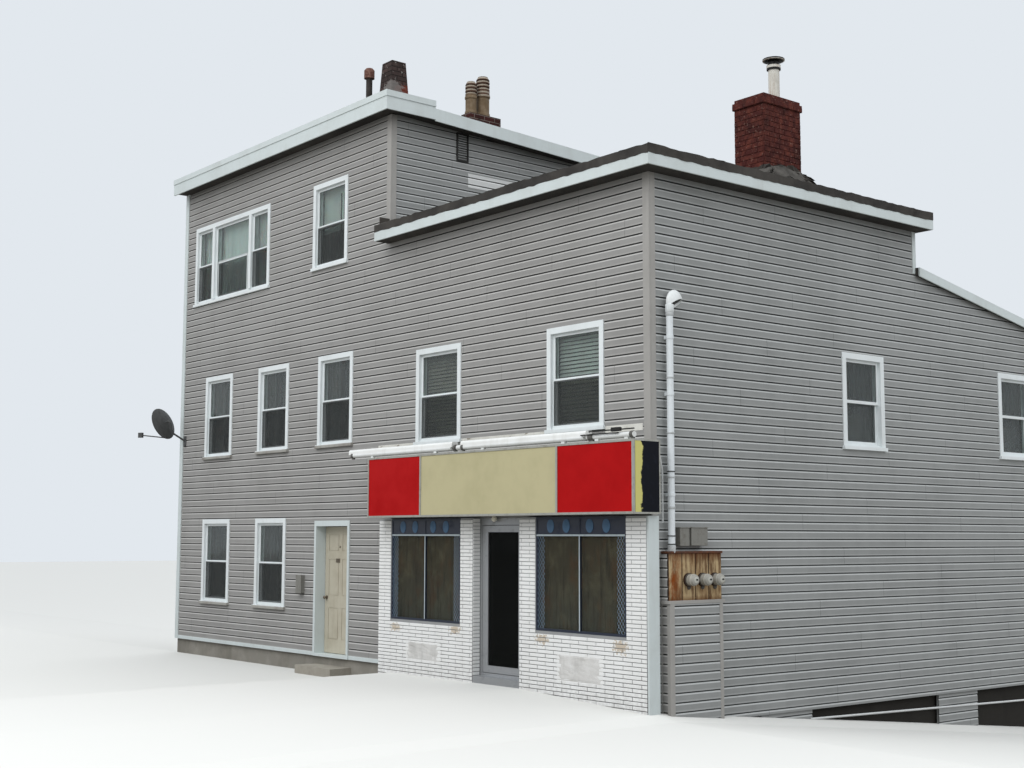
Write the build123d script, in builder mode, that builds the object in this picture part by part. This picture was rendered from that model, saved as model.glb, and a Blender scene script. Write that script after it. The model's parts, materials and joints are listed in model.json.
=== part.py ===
# Corner shop building: two and three storeys of clapboard over a painted brick shopfront.
# Millimetres, +Z up. The origin is at the foot of the foundation, under the middle of the wall
# between house and shop and midway from front to rear.
# The street front faces -Y, the side street is on +X, and both meet at the shop corner.
from build123d import *
import os

os.makedirs("parts", exist_ok=True)

# Footprint
facade_width = 12650
depth = 10400
house_width = 7000
shop_depth = 5500
wall = 200

# Heights above the pavement at the shop corner
foundation_drop = 950
house_siding_foot = 250
side_siding_foot = -100
floor_top = 270
floor_thickness = 200
second_floor_top = 2900
third_floor_top = 5850
upper_floor_thickness = 250
storefront_head = 2410
shop_wall_top = 6660
house_wall_top = 8728
storey_line = 2650
wing_wall_top = 6010

# Slopes, as fall over run
upper_roof_fall = 0.046
wing_roof_fall = 0.178

# Foundation
foundation_thickness = 320
house_foundation_recess = 30
side_foundation_recess = 80
storefront_footing = 130

# Roofs and trims
upper_roof_thickness = 160
shop_roof_thickness = 140
wing_roof_thickness = 110
eaves = 300
wing_rear_eaves = 250
wing_side_eaves = 80
fascia_thickness = 25
upper_fascia_foot = 8690
upper_fascia_height = 300
upper_fascia_return = 630
upper_band_height = 95
upper_band_proud = 12
side_fascia_height = 200
shop_fascia_height = 140
roof_edge_height = 100
roof_edge_width = 90
rake_height = 130
flashing_height = 250
flashing_thickness = 12

# House windows: distance from the party wall end to the centre, outer width, sill, outer height
house_windows_second = [(1525, 1030, 3560, 1520), (3510, 1040, 3575, 1505), (5500, 1040, 3585, 1505)]
house_window_third = [(5270, 1060, 6545, 1455)]
house_windows_ground = [(1530, 1030, 940, 1520), (3500, 1030, 940, 1520)]
triple_window = (1870, 2820, 6475, 1510)
triple_side_light = 715

# Windows over the shop and on the side: centre from the wall between house and shop, from the
# shop corner, or back from the front; then outer width, sill, outer height
shop_window_left = (1310, 1100, 3495, 1425)
shop_window_right = (1350, 1100, 3505, 1395)
side_windows_second = [(4190, 940, 3370, 1350), (8065, 940, 3370, 1350)]

# Rear windows, placed as those of the front
rear_house_windows = [
    (1750, 1030, 940, 1520),
    (5050, 1030, 940, 1520),
    (1750, 1040, 3580, 1500),
    (5050, 1040, 3580, 1500),
    (1750, 1040, 6420, 1450),
    (5050, 1040, 6420, 1450),
]
rear_wing_windows_left = [(1350, 1030, 940, 1400), (1350, 940, 3370, 1350)]
rear_wing_windows_right = [(1500, 1030, 940, 1400), (1500, 940, 3370, 1350)]

casing_lap = 45
casing_proud = 32
frame_depth = 120
frame_face = 36
sash_face = 42
sash_depth = 36
sash_recess = 14
pane_thickness = 18
mullion = 90
sill_height = casing_lap + 3
sill_projection = 58
sill_horn = 18
end_board_width = 120

# Shopfront
brick_proud = 150
brick_end_proud = 75
storefront_inset = 30
doorway_left = 3320
doorway_right = 2310
outer_pier = 315
door_pier = 285
inner_pier = 330
corner_pier = 280
display_sill = 950
display_frame = 32
display_frame_depth = 30
display_transom = 200
corner_board_thickness = 28

# Shop door
shop_frame_face = 50
shop_frame_depth = 110
shop_frame_front = -25
shop_sill_height = 40
shop_door_height = 1990
leaf_gap = 8
leaf_thickness = 45
shop_stile = 118
shop_top_rail = 90
shop_bottom_rail = 95
shop_pane_thickness = 10

# Apartment door
apartment_centre = 5470
apartment_clear = 930
apartment_head = 2318
apartment_casing = 58
apartment_sill_top = 290
apartment_jamb = 30
apartment_leaf_recess = 150

# Hinges
hinge_pin_radius = 8
hinge_height = 96
hinge_plate_reach = 34
hinge_play = 0.4

# Raised fields of the apartment door: three rows of two
door_stile = 112
door_muntin = 105
door_rails = [215, 190, 130, 118]
door_rows = [0.37, 0.43, 0.2]
field_groove = 14
field_depth = 7
knob_height = 1175
knob_backset = 62
plate_height = 1769
plate_backset = 385
viewer_backset = 440
viewer_height = 1985

# Step
step_width = 1050
step_tread = 350
step_top = 120

# Sign
sign_inset = 130
sign_right_projection = 160
sign_depth = 450
sign_foot = 2430
sign_height = 890
sign_sheet = 25
sign_lip = 28
sign_panel_thickness = 8
sign_left_panel = 1345
sign_right_panel = 1390
sign_bar = 34
lamp_radius = 34
lamp_overhang = 480
lamp_edges = [3480, 3350, 740, 690]
lamp_right_overhang = 140
lamp_setback = 45
lamp_lift = 22
lamp_feet = (0.22, 0.85)
panel_gap = 1
backing_foot = 3455
backing_height = 85
backing_thickness = 22
backing_left_end = 360
backing_right_end = 110
backing_gap = sill_horn + 5

# Roof-top pieces: the red stack and its flue from the shop corner, the rest from the wall
# between house and shop, and all back from the facade
red_chimney_side = 600
red_chimney_front = 2900
red_chimney_width = 550
red_chimney_length = 790
red_chimney_top = 8420
red_chimney_corbel = 22
red_chimney_corbel_height = 150
flue_radius = 80
flue_left = 745
flue_back = 3300
flue_top = 9050
flue_cap_radius = 160
flue_seat = 250
front_chimney_side = 480
front_chimney_front = 320
front_chimney_width = 280
front_chimney_length = 265
front_chimney_spread = 60
front_chimney_top = 9800
vent_left = 1190
vent_back = 350
vent_radius = 53
vent_top = 9840
pot_stack_side = 325
pot_stack_front = 1790
pot_stack_width = 250
pot_stack_length = 650
pot_stack_top = 9190
pot_heights = [560, 690]
pot_radii = [97, 116]
pot_backs = [1900, 2150]

# Service gear on the side wall: distances back from the facade and heights
mast_back = 248
mast_stand_off = 100
mast_radius = 43
mast_foot = 1970
mast_top = 4950
strap_heights = [4580, 3880, 2650]
hood_half_width = 62
hood_wall = 6
panel_back = 150
panel_length = 935
panel_foot = 1390
panel_height = 580
panel_depth = 130
socket_reach = 30
meter_backs = [484, 727, 947]
meter_height = 1640
meter_radius = 69
enclosure_back = 163
enclosure_length = 890
enclosure_depth = 150
enclosure_foot_front = -28
enclosure_foot_rear = -132
service_boxes_at = [(400, 150, 2055, 210, 90), (580, 270, 2060, 207, 110)]
conduit_radius = 13
conduit_route = [(24, 3395), (142, 3139), (184, 2960), (184, 2330)]
conduit_bend = 45
phone_box_from_end = 4490
phone_box_foot = 1232
phone_box_width = 160
phone_box_height = 290
phone_box_depth = 80
skirts_at = [(1950, 1010, 266), (5815, 985, 530)]
skirt_thickness = 22
skirt_inset = 45
side_pipe_radius = 15
side_pipe_back = 2925
side_pipe_start_height = -224
side_pipe_fall = 0.022
louvre_back = 1250
louvre_width = 235
louvre_foot = 8195
louvre_height = 465
door_lamp_from_jamb = 370
door_lamp_radius = 38
door_lamp_neck = 20
door_lamp_depth = 50

# Dish on an arm at the party wall end of the front
dish_plate_from_end = 200
dish_from_end = 70
dish_stand_off = 420
dish_height = 4262
dish_radius = 310
dish_wall = 8
dish_crown = 60
dish_turn = 65
dish_tilt = 20
dish_foot_drop = 322
dish_plate = (90, 190, 34)
dish_pole_radius = 18
dish_pole_back = 110
feed_reach = 530
feed_drop = 200
feed_arm_radius = 11
feed_head = (50, 90, 95)

# Places worked out from the sizes above
corner_x = facade_width - house_width + wall / 2
house_end_x = corner_x - facade_width
front_y = -depth / 2
rear_y = depth / 2
ground = foundation_drop
shop_left_x = house_end_x + house_width
shop_width = facade_width - house_width
dividing_x = shop_left_x - wall
shop_rear_y = front_y + shop_depth
inner_front_y = front_y + wall
inner_rear_y = rear_y - wall
inner_corner_x = corner_x - wall
inner_party_x = house_end_x + wall
deck_foot = ground + floor_top - floor_thickness


def from_corner(distance):
    return corner_x - distance


def from_divide(distance):
    return shop_left_x - distance


def into_shop(distance):
    return shop_left_x + distance


def from_end(distance):
    return house_end_x + distance


def back(distance):
    return front_y + distance


def above(height):
    return ground + height


def front_face(y):
    return Plane.XZ.offset(-y)


def side_face(x):
    return Plane.YZ.offset(x)


def block(low, high):
    # a plain slab or post between two corners, in the part being built
    middle = [(a + b) / 2 for a, b in zip(low, high)]
    with Locations(tuple(middle)):
        Box(*[b - a for a, b in zip(low, high)])


def cut_block(low, high):
    middle = [(a + b) / 2 for a, b in zip(low, high)]
    with Locations(tuple(middle)):
        Box(*[b - a for a, b in zip(low, high)], mode=Mode.SUBTRACT)


def ring_stack(base, outline, sides, mode=Mode.ADD):
    # a turned form kept to few faces: many-sided rings of (radius, height), joined by straight lofts
    rings = []
    for radius, height in outline:
        with BuildSketch(base.offset(height)) as ring:
            RegularPolygon(radius, sides)
        rings.append(ring.sketch)
    loft(rings, ruled=True, mode=mode)


def ring_cut(base, radius, depth_down, sides):
    # a many-sided hole sunk below a base plane
    with BuildSketch(base) as mouth:
        RegularPolygon(radius, sides)
    extrude(mouth.sketch, amount=-depth_down, mode=Mode.SUBTRACT)


def at_house(windows):
    return [(from_end(centre), *sizes) for centre, *sizes in windows]


# All windows of the front and the rear, with their centres as places
house_second = at_house(house_windows_second)
house_third = at_house(house_window_third)
house_ground = at_house(house_windows_ground)
triple_place = at_house([triple_window])[0]
shop_left_window = (into_shop(shop_window_left[0]), *shop_window_left[1:])
shop_right_window = (from_corner(shop_window_right[0]), *shop_window_right[1:])
shop_second = [shop_left_window, shop_right_window]
house_rear = at_house(rear_house_windows)
wing_rear = [(into_shop(centre), *sizes) for centre, *sizes in rear_wing_windows_left]
wing_rear += [(from_corner(centre), *sizes) for centre, *sizes in rear_wing_windows_right]


def wall_holes(windows, mode=Mode.SUBTRACT):
    # window holes in a sketch that is drawn on a front or rear face
    for centre_x, width, sill, height in windows:
        with Locations((centre_x, above(sill + height / 2))):
            Rectangle(width - 2 * casing_lap, height - 2 * casing_lap, mode=mode)


def keep(part, name):
    part.label = name
    export_step(part, f"parts/{name}.step")


# Foundation: a ring whose outer rim carries the walls and whose inner ledge carries the deck
with BuildPart() as foundation:
    rim_front = front_y + house_foundation_recess
    rim_side = corner_x - side_foundation_recess
    inner_x = corner_x - foundation_thickness
    inner_party = house_end_x + foundation_thickness
    block((house_end_x, rim_front, 0), (shop_left_x, inner_front_y, above(house_siding_foot)))
    block((shop_left_x, front_y - storefront_footing, 0), (rim_side, front_y, above(side_siding_foot)))
    block((shop_left_x, front_y - storefront_footing, 0), (inner_corner_x, inner_front_y, above(0)))
    block((rim_side - (wall - side_foundation_recess), front_y, 0), (rim_side, rear_y, above(side_siding_foot)))
    block((house_end_x, rim_front, 0), (inner_party_x, rear_y, above(house_siding_foot)))
    block((house_end_x, inner_rear_y, 0), (shop_left_x, rear_y, above(house_siding_foot)))
    block((shop_left_x, inner_rear_y, 0), (rim_side, rear_y, above(side_siding_foot)))
    block((inner_party_x, inner_front_y, 0), (inner_corner_x, front_y + foundation_thickness, deck_foot))
    block((inner_x, inner_front_y, 0), (inner_corner_x, inner_rear_y, deck_foot))
    block((inner_party_x, inner_front_y, 0), (inner_party, inner_rear_y, deck_foot))
    block((inner_party_x, rear_y - foundation_thickness, 0), (inner_corner_x, inner_rear_y, deck_foot))
    block((dividing_x, inner_front_y, 0), (shop_left_x, inner_rear_y, deck_foot))
keep(foundation.part, "foundation")

# Floors, seen through the doorways and needed by the rows of windows
with BuildPart() as floors:
    block((inner_party_x, inner_front_y, deck_foot), (dividing_x, inner_rear_y, above(floor_top)))
    block((shop_left_x, inner_front_y, deck_foot), (inner_corner_x, inner_rear_y, above(floor_top)))
    for top in (second_floor_top, third_floor_top):
        block(
            (inner_party_x, inner_front_y, above(top - upper_floor_thickness)),
            (dividing_x, inner_rear_y, above(top)),
        )
    block(
        (shop_left_x, inner_front_y, above(second_floor_top - upper_floor_thickness)),
        (inner_corner_x, inner_rear_y, above(second_floor_top)),
    )
keep(floors.part, "floors")

# House front wall, split beside and over the apartment doorway
apartment_x = from_end(apartment_centre)
apartment_left_x = apartment_x - apartment_clear / 2
apartment_right_x = apartment_x + apartment_clear / 2
apartment_hole_left = apartment_left_x - apartment_jamb
apartment_hole_right = apartment_right_x + apartment_jamb
apartment_top = apartment_head + apartment_jamb

with BuildPart() as house_front_wall_left:
    with BuildSketch(front_face(front_y)):
        with Locations((house_end_x, above(house_siding_foot))):
            Rectangle(
                apartment_hole_left - house_end_x,
                storey_line - house_siding_foot,
                align=(Align.MIN, Align.MIN),
            )
        wall_holes(house_ground)
    extrude(amount=-wall)
keep(house_front_wall_left.part, "house_front_wall_left")

with BuildPart() as house_front_wall_right:
    block(
        (apartment_hole_right, front_y, above(house_siding_foot)),
        (shop_left_x, inner_front_y, above(storey_line)),
    )
keep(house_front_wall_right.part, "house_front_wall_right")

with BuildPart() as house_front_wall_upper:
    with BuildSketch(front_face(front_y)):
        with Locations((house_end_x, above(storey_line))):
            Rectangle(house_width, house_wall_top - storey_line, align=(Align.MIN, Align.MIN))
        with Locations((apartment_hole_left, above(apartment_top))):
            Rectangle(
                apartment_hole_right - apartment_hole_left,
                storey_line - apartment_top,
                align=(Align.MIN, Align.MIN),
            )
        wall_holes(house_second + house_third + [triple_place])
    extrude(amount=-wall)
keep(house_front_wall_upper.part, "house_front_wall_upper")

# Shop front wall over the brick bays, carrying the sign
with BuildPart() as shop_front_wall_upper:
    with BuildSketch(front_face(front_y)):
        with Locations((shop_left_x, above(storefront_head))):
            Rectangle(shop_width - wall, shop_wall_top - storefront_head, align=(Align.MIN, Align.MIN))
        wall_holes(shop_second)
    extrude(amount=-wall)
keep(shop_front_wall_upper.part, "shop_front_wall_upper")

# Brick bays either side of the shop door, each open at the top for its display window
storefront_x = into_shop(storefront_inset)
doorway_left_x = from_corner(doorway_left)
doorway_right_x = from_corner(doorway_right)
display_spans = [
    (storefront_x + outer_pier, doorway_left_x - door_pier),
    (doorway_right_x + inner_pier, corner_x - corner_pier),
]
display_height = storefront_head - display_sill
with BuildPart() as storefront_brick:
    with BuildSketch(front_face(front_y - brick_proud)):
        with Locations((storefront_x, above(0))):
            Rectangle(doorway_left_x - storefront_x, storefront_head, align=(Align.MIN, Align.MIN))
        with Locations((doorway_right_x, above(0))):
            Rectangle(inner_corner_x - doorway_right_x, storefront_head, align=(Align.MIN, Align.MIN))
        for low_x, high_x in display_spans:
            with Locations((low_x, above(display_sill))):
                Rectangle(high_x - low_x, display_height, align=(Align.MIN, Align.MIN), mode=Mode.SUBTRACT)
    extrude(amount=-(brick_proud + wall))
    block(
        (inner_corner_x, front_y - brick_proud, above(0)),
        (corner_x + brick_end_proud, front_y, above(storefront_head)),
    )
keep(storefront_brick.part, "storefront_brick")

# Side wall: full height over the shop, then stepped down and raked over the rear wing
wing_run = depth - shop_depth
with BuildPart() as side_wall:
    with BuildSketch(side_face(corner_x)):
        with BuildLine():
            Polyline(
                (front_y, above(side_siding_foot)),
                (rear_y, above(side_siding_foot)),
                (rear_y, above(wing_wall_top - wing_roof_fall * wing_run)),
                (shop_rear_y, above(wing_wall_top)),
                (shop_rear_y, above(shop_wall_top)),
                (front_y, above(shop_wall_top)),
                close=True,
            )
        make_face()
        for along, width, sill, height in side_windows_second:
            with Locations((back(along), above(sill + height / 2))):
                Rectangle(width - 2 * casing_lap, height - 2 * casing_lap, mode=Mode.SUBTRACT)
    extrude(amount=-wall)
keep(side_wall.part, "side_wall")

# Rear walls repeat the storeys of the front
house_rear_top = house_wall_top - upper_roof_fall * (depth - wall)
house_inner_rear_top = house_wall_top - upper_roof_fall * (depth - 2 * wall)
with BuildPart() as house_rear_wall:
    with BuildSketch(side_face(house_end_x)):
        with BuildLine():
            Polyline(
                (inner_rear_y, above(house_siding_foot)),
                (rear_y, above(house_siding_foot)),
                (rear_y, above(house_rear_top)),
                (inner_rear_y, above(house_inner_rear_top)),
                close=True,
            )
        make_face()
    extrude(amount=house_width)
    with BuildSketch(front_face(rear_y)):
        wall_holes(house_rear, Mode.ADD)
    extrude(amount=wall, mode=Mode.SUBTRACT)
keep(house_rear_wall.part, "house_rear_wall")

wing_inner_top = wing_wall_top - wing_roof_fall * (wing_run - wall)
wing_rear_top = wing_wall_top - wing_roof_fall * wing_run
with BuildPart() as wing_rear_wall:
    with BuildSketch(side_face(shop_left_x)):
        with BuildLine():
            Polyline(
                (inner_rear_y, above(side_siding_foot)),
                (rear_y, above(side_siding_foot)),
                (rear_y, above(wing_rear_top)),
                (inner_rear_y, above(wing_inner_top)),
                close=True,
            )
        make_face()
    extrude(amount=shop_width - wall)
    with BuildSketch(front_face(rear_y)):
        wall_holes(wing_rear, Mode.ADD)
    extrude(amount=wall, mode=Mode.SUBTRACT)
keep(wing_rear_wall.part, "wing_rear_wall")

with BuildPart() as shop_rear_upstand:
    block(
        (shop_left_x, shop_rear_y - wall, above(wing_wall_top - wing_roof_thickness)),
        (inner_corner_x, shop_rear_y, above(shop_wall_top)),
    )
keep(shop_rear_upstand.part, "shop_rear_upstand")


def raked_wall(foot):
    # outline of a wall that runs front to back under the sloping upper roof
    Polyline(
        (inner_front_y, foot),
        (inner_rear_y, foot),
        (inner_rear_y, above(house_inner_rear_top)),
        (inner_front_y, above(house_wall_top)),
        close=True,
    )


with BuildPart() as party_wall:
    with BuildSketch(side_face(house_end_x)):
        with BuildLine():
            raked_wall(above(house_siding_foot))
        make_face()
    extrude(amount=wall)
keep(party_wall.part, "party_wall")

with BuildPart() as dividing_wall:
    with BuildSketch(side_face(dividing_x)):
        with BuildLine():
            raked_wall(deck_foot)
        make_face()
    extrude(amount=wall)
keep(dividing_wall.part, "dividing_wall")

# Upper roof: a slab that falls to the rear, on the house walls
upper_slab_front = front_y - eaves + fascia_thickness
upper_slab_side = shop_left_x + eaves - fascia_thickness


def upper_underside(y):
    return above(house_wall_top - upper_roof_fall * max(0, y - inner_front_y))


with BuildPart() as upper_roof:
    with BuildSketch(side_face(house_end_x)):
        with BuildLine():
            Polyline(
                (upper_slab_front, upper_underside(front_y)),
                (inner_front_y, upper_underside(front_y)),
                (rear_y, upper_underside(rear_y)),
                (rear_y, upper_underside(rear_y) + upper_roof_thickness),
                (inner_front_y, upper_underside(front_y) + upper_roof_thickness),
                (upper_slab_front, upper_underside(front_y) + upper_roof_thickness),
                close=True,
            )
        make_face()
    extrude(amount=upper_slab_side - house_end_x)
keep(upper_roof.part, "upper_roof")

# Shop roof: a level deck with a rough upturned edge of roofing all round its open sides
shop_slab_front = front_y - eaves + fascia_thickness
shop_slab_side = corner_x + eaves - fascia_thickness
shop_slab_rear = shop_rear_y + wing_side_eaves
with BuildPart() as shop_roof:
    block(
        (shop_left_x, shop_slab_front, above(shop_wall_top)),
        (shop_slab_side, shop_slab_rear, above(shop_wall_top + shop_roof_thickness)),
    )
keep(shop_roof.part, "shop_roof")

roof_edge_foot = above(shop_wall_top + shop_roof_thickness)
with BuildPart() as shop_roof_edge:
    block(
        (shop_left_x, front_y - eaves, roof_edge_foot),
        (corner_x + eaves, front_y - eaves + roof_edge_width, roof_edge_foot + roof_edge_height),
    )
    block(
        (corner_x + eaves - roof_edge_width, front_y - eaves, roof_edge_foot),
        (corner_x + eaves, shop_slab_rear, roof_edge_foot + roof_edge_height),
    )
    block(
        (shop_left_x, shop_slab_rear - roof_edge_width, roof_edge_foot),
        (corner_x + eaves, shop_slab_rear, roof_edge_foot + roof_edge_height),
    )
keep(shop_roof_edge.part, "shop_roof_edge")


# Wing roof: a shed roof falling to the rear, with its eaves past the rear wall
def wing_underside(y):
    return above(wing_wall_top - wing_roof_fall * (y - shop_rear_y))


wing_eaves_y = rear_y + wing_rear_eaves


def wing_slab_outline(low, high):
    Polyline(
        (shop_rear_y, wing_underside(shop_rear_y) + low),
        (wing_eaves_y, wing_underside(wing_eaves_y) + low),
        (wing_eaves_y, wing_underside(wing_eaves_y) + high),
        (shop_rear_y, wing_underside(shop_rear_y) + high),
        close=True,
    )


with BuildPart() as wing_roof:
    with BuildSketch(side_face(shop_left_x)):
        with BuildLine():
            wing_slab_outline(0, wing_roof_thickness)
        make_face()
    extrude(amount=shop_width + wing_side_eaves)
keep(wing_roof.part, "wing_roof")

with BuildPart() as wing_trim:
    with BuildSketch(side_face(corner_x + wing_side_eaves)):
        with BuildLine():
            wing_slab_outline(wing_roof_thickness - rake_height, wing_roof_thickness)
        make_face()
    extrude(amount=fascia_thickness)
    block(
        (shop_left_x, wing_eaves_y, wing_underside(wing_eaves_y) + wing_roof_thickness - rake_height),
        (
            corner_x + wing_side_eaves + fascia_thickness,
            wing_eaves_y + fascia_thickness,
            wing_underside(wing_eaves_y) + wing_roof_thickness,
        ),
    )
keep(wing_trim.part, "wing_trim")

# Upper fascia: a boxed front with a raised kerb behind it, and a short return round the corner
upper_kerb_top = above(upper_fascia_foot + upper_fascia_height)
upper_return_y = back(upper_fascia_return)
side_band_foot = upper_roof_thickness - side_fascia_height


def upper_surface(y):
    return upper_underside(y) + upper_roof_thickness


with BuildPart() as upper_fascia:
    block(
        (house_end_x, front_y - eaves, above(upper_fascia_foot)),
        (shop_left_x + eaves, upper_slab_front, upper_kerb_top),
    )
    block(
        (upper_slab_side, front_y - eaves, above(upper_fascia_foot)),
        (shop_left_x + eaves, upper_return_y, upper_kerb_top),
    )
    band_side = shop_left_x + eaves + upper_band_proud
    block(
        (house_end_x, front_y - eaves - upper_band_proud, upper_kerb_top - upper_band_height),
        (band_side, front_y - eaves, upper_kerb_top),
    )
    block(
        (shop_left_x + eaves, front_y - eaves, upper_kerb_top - upper_band_height),
        (band_side, upper_return_y, upper_kerb_top),
    )
    block(
        (house_end_x, upper_slab_front, upper_surface(front_y)),
        (upper_slab_side, front_y, upper_kerb_top),
    )
    with BuildSketch(side_face(shop_left_x)):
        with BuildLine():
            Polyline(
                (front_y, upper_surface(front_y)),
                (inner_front_y, upper_surface(front_y)),
                (upper_return_y, upper_surface(upper_return_y)),
                (upper_return_y, upper_kerb_top),
                (front_y, upper_kerb_top),
                close=True,
            )
        make_face()
    extrude(amount=upper_slab_side - shop_left_x)
    with BuildSketch(side_face(upper_slab_side)):
        with BuildLine():
            Polyline(
                (upper_return_y, upper_underside(upper_return_y) + side_band_foot),
                (rear_y, upper_underside(rear_y) + side_band_foot),
                (rear_y, upper_underside(rear_y) + upper_roof_thickness),
                (upper_return_y, upper_surface(upper_return_y)),
                close=True,
            )
        make_face()
    extrude(amount=fascia_thickness)
    block(
        (house_end_x, rear_y, upper_underside(rear_y) + side_band_foot),
        (
            upper_slab_side + fascia_thickness,
            rear_y + fascia_thickness,
            upper_underside(rear_y) + upper_roof_thickness,
        ),
    )
keep(upper_fascia.part, "upper_fascia")

# Shop fascia round the three open sides of the shop roof
shop_fascia_foot = above(shop_wall_top + shop_roof_thickness - shop_fascia_height)
with BuildPart() as shop_fascia:
    block(
        (shop_left_x, front_y - eaves, shop_fascia_foot),
        (corner_x + eaves, front_y - eaves + fascia_thickness, roof_edge_foot),
    )
    block(
        (corner_x + eaves - fascia_thickness, front_y - eaves, shop_fascia_foot),
        (corner_x + eaves, shop_slab_rear, roof_edge_foot),
    )
keep(shop_fascia.part, "shop_fascia")


def flashing_skirt(low, high, spread, x_low, x_high, y_low, y_high):
    # a fillet of roofing round the foot of a stack, wider at the bottom
    with BuildSketch(Plane.XY.offset(low)) as wide_foot:
        with Locations(((x_low + x_high) / 2, (y_low + y_high) / 2)):
            Rectangle(x_high - x_low + 2 * spread, y_high - y_low + 2 * spread)
    with BuildSketch(Plane.XY.offset(high)) as narrow_head:
        with Locations(((x_low + x_high) / 2, (y_low + y_high) / 2)):
            Rectangle(x_high - x_low + spread / 3, y_high - y_low + spread / 3)
    loft([wide_foot.sketch, narrow_head.sketch], ruled=True)


# Roofing turned up against the house wall, and the fillet round the red stack
shop_roof_top = above(shop_wall_top + shop_roof_thickness)
red_right_x = from_corner(red_chimney_side)
red_left_x = red_right_x - red_chimney_width
red_front_y = back(red_chimney_front)
red_rear_y = red_front_y + red_chimney_length
red_fillet_height = 500
red_fillet_spread = 170
with BuildPart() as roof_flashing:
    flashing_skirt(
        shop_roof_top,
        shop_roof_top + red_fillet_height,
        red_fillet_spread,
        red_left_x,
        red_right_x,
        red_front_y,
        red_rear_y,
    )
    cut_block(
        (red_left_x, red_front_y, shop_roof_top),
        (red_right_x, red_rear_y, shop_roof_top + red_fillet_height),
    )
    block(
        (shop_left_x, front_y - eaves + roof_edge_width, shop_roof_top),
        (shop_left_x + flashing_thickness, shop_slab_rear - roof_edge_width, shop_roof_top + flashing_height),
    )
keep(roof_flashing.part, "roof_flashing")


def hole_ring(width, height):
    # the frame's outline in its hole, less the clear space for the sashes
    with Locations((0, height / 2)):
        Rectangle(width - 2 * casing_lap, height - 2 * casing_lap)
        Rectangle(
            width - 2 * (casing_lap + frame_face),
            height - 2 * (casing_lap + frame_face),
            mode=Mode.SUBTRACT,
        )


def window_case(face, width, height):
    # sill along the foot, casing round the other three sides, frame in the hole; origin at the foot
    with BuildSketch(face) as casing:
        with Locations((0, sill_height)):
            Rectangle(width, height - sill_height, align=(Align.CENTER, Align.MIN))
            Rectangle(
                clear_width(width),
                height - sill_height - casing_lap - frame_face,
                align=(Align.CENTER, Align.MIN),
                mode=Mode.SUBTRACT,
            )
    extrude(casing.sketch, amount=casing_proud)
    with BuildSketch(face) as frame_ring:
        hole_ring(width, height)
    extrude(frame_ring.sketch, amount=-frame_depth)
    with BuildSketch(face) as sill:
        with Locations((0, sill_height / 2)):
            Rectangle(width + 2 * sill_horn, sill_height)
    extrude(sill.sketch, amount=sill_projection)


def sash_lights(centre_x, clear_width, clear_height):
    # width, height and centre of the lower and the upper light of a pair of sashes
    light_width = clear_width - 2 * sash_face
    light_height = (clear_height - 3 * sash_face) / 2
    rise = (light_height + sash_face) / 2
    return [(centre_x, -rise, light_width, light_height), (centre_x, rise, light_width, light_height)]


def sash_pair(face, middle, centre_x, clear_width, clear_height):
    # the upper sash in front, the lower one behind it, their rails lapping at the middle
    for row, (light_x, light_y, light_width, light_height) in enumerate(
        sash_lights(centre_x, clear_width, clear_height)
    ):
        depth_in = sash_recess if row == 1 else sash_recess + sash_depth
        with BuildSketch(face.offset(-depth_in)) as sash:
            with Locations((light_x, middle + light_y)):
                Rectangle(clear_width, light_height + 2 * sash_face)
                Rectangle(light_width, light_height, mode=Mode.SUBTRACT)
        extrude(sash.sketch, amount=-sash_depth)


def pane_pair(face, middle, centre_x, clear_width, clear_height):
    for row, (light_x, light_y, light_width, light_height) in enumerate(
        sash_lights(centre_x, clear_width, clear_height)
    ):
        depth_in = sash_recess if row == 1 else sash_recess + sash_depth
        with BuildSketch(face.offset(-depth_in - (sash_depth - pane_thickness) / 2)) as pane:
            with Locations((light_x, middle + light_y)):
                Rectangle(light_width, light_height)
        extrude(pane.sketch, amount=-pane_thickness)


def clear_width(width):
    return width - 2 * (casing_lap + frame_face)


def sash_window(face, width, height):
    window_case(face, width, height)
    sash_pair(face, height / 2, 0, clear_width(width), clear_width(height))


def sash_panes(face, width, height):
    pane_pair(face, height / 2, 0, clear_width(width), clear_width(height))


def front_window_face(centre_x, sill, y=front_y):
    return Plane(origin=(centre_x, y, above(sill)), x_dir=(1, 0, 0), z_dir=(0, -1, 0))


def rear_window_face(centre_x, sill):
    return Plane(origin=(centre_x, rear_y, above(sill)), x_dir=(-1, 0, 0), z_dir=(0, 1, 0))


def side_window_face(along, sill):
    return Plane(origin=(corner_x, back(along), above(sill)), x_dir=(0, 1, 0), z_dir=(1, 0, 0))


# The wide window of the top storey: a fixed light between two narrow sash windows
triple_x, triple_width, triple_sill, triple_height = triple_place
triple_centre_clear = triple_width - 2 * triple_side_light - mullion
triple_side_clear = (clear_width(triple_width) - triple_centre_clear) / 2 - mullion
triple_side_x = triple_centre_clear / 2 + mullion + triple_side_clear / 2
triple_clear_height = clear_width(triple_height)
triple_face = front_window_face(triple_x, triple_sill)
triple_middle = triple_height / 2


def triple_frame():
    window_case(triple_face, triple_width, triple_height)
    for hand in (-1, 1):
        sash_pair(triple_face, triple_middle, hand * triple_side_x, triple_side_clear, triple_clear_height)
    with BuildSketch(triple_face.offset(-sash_recess)) as fixed_sash:
        with Locations((0, triple_middle)):
            Rectangle(triple_centre_clear, triple_clear_height)
            Rectangle(
                triple_centre_clear - 2 * sash_face,
                triple_clear_height - 2 * sash_face,
                mode=Mode.SUBTRACT,
            )
    extrude(fixed_sash.sketch, amount=-sash_depth)
    mullion_x = (triple_centre_clear + mullion) / 2
    with BuildSketch(triple_face.offset(casing_proud)) as mullions:
        with Locations((-mullion_x, triple_middle), (mullion_x, triple_middle)):
            Rectangle(mullion, triple_clear_height)
    extrude(mullions.sketch, amount=-(frame_depth + casing_proud))


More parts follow.
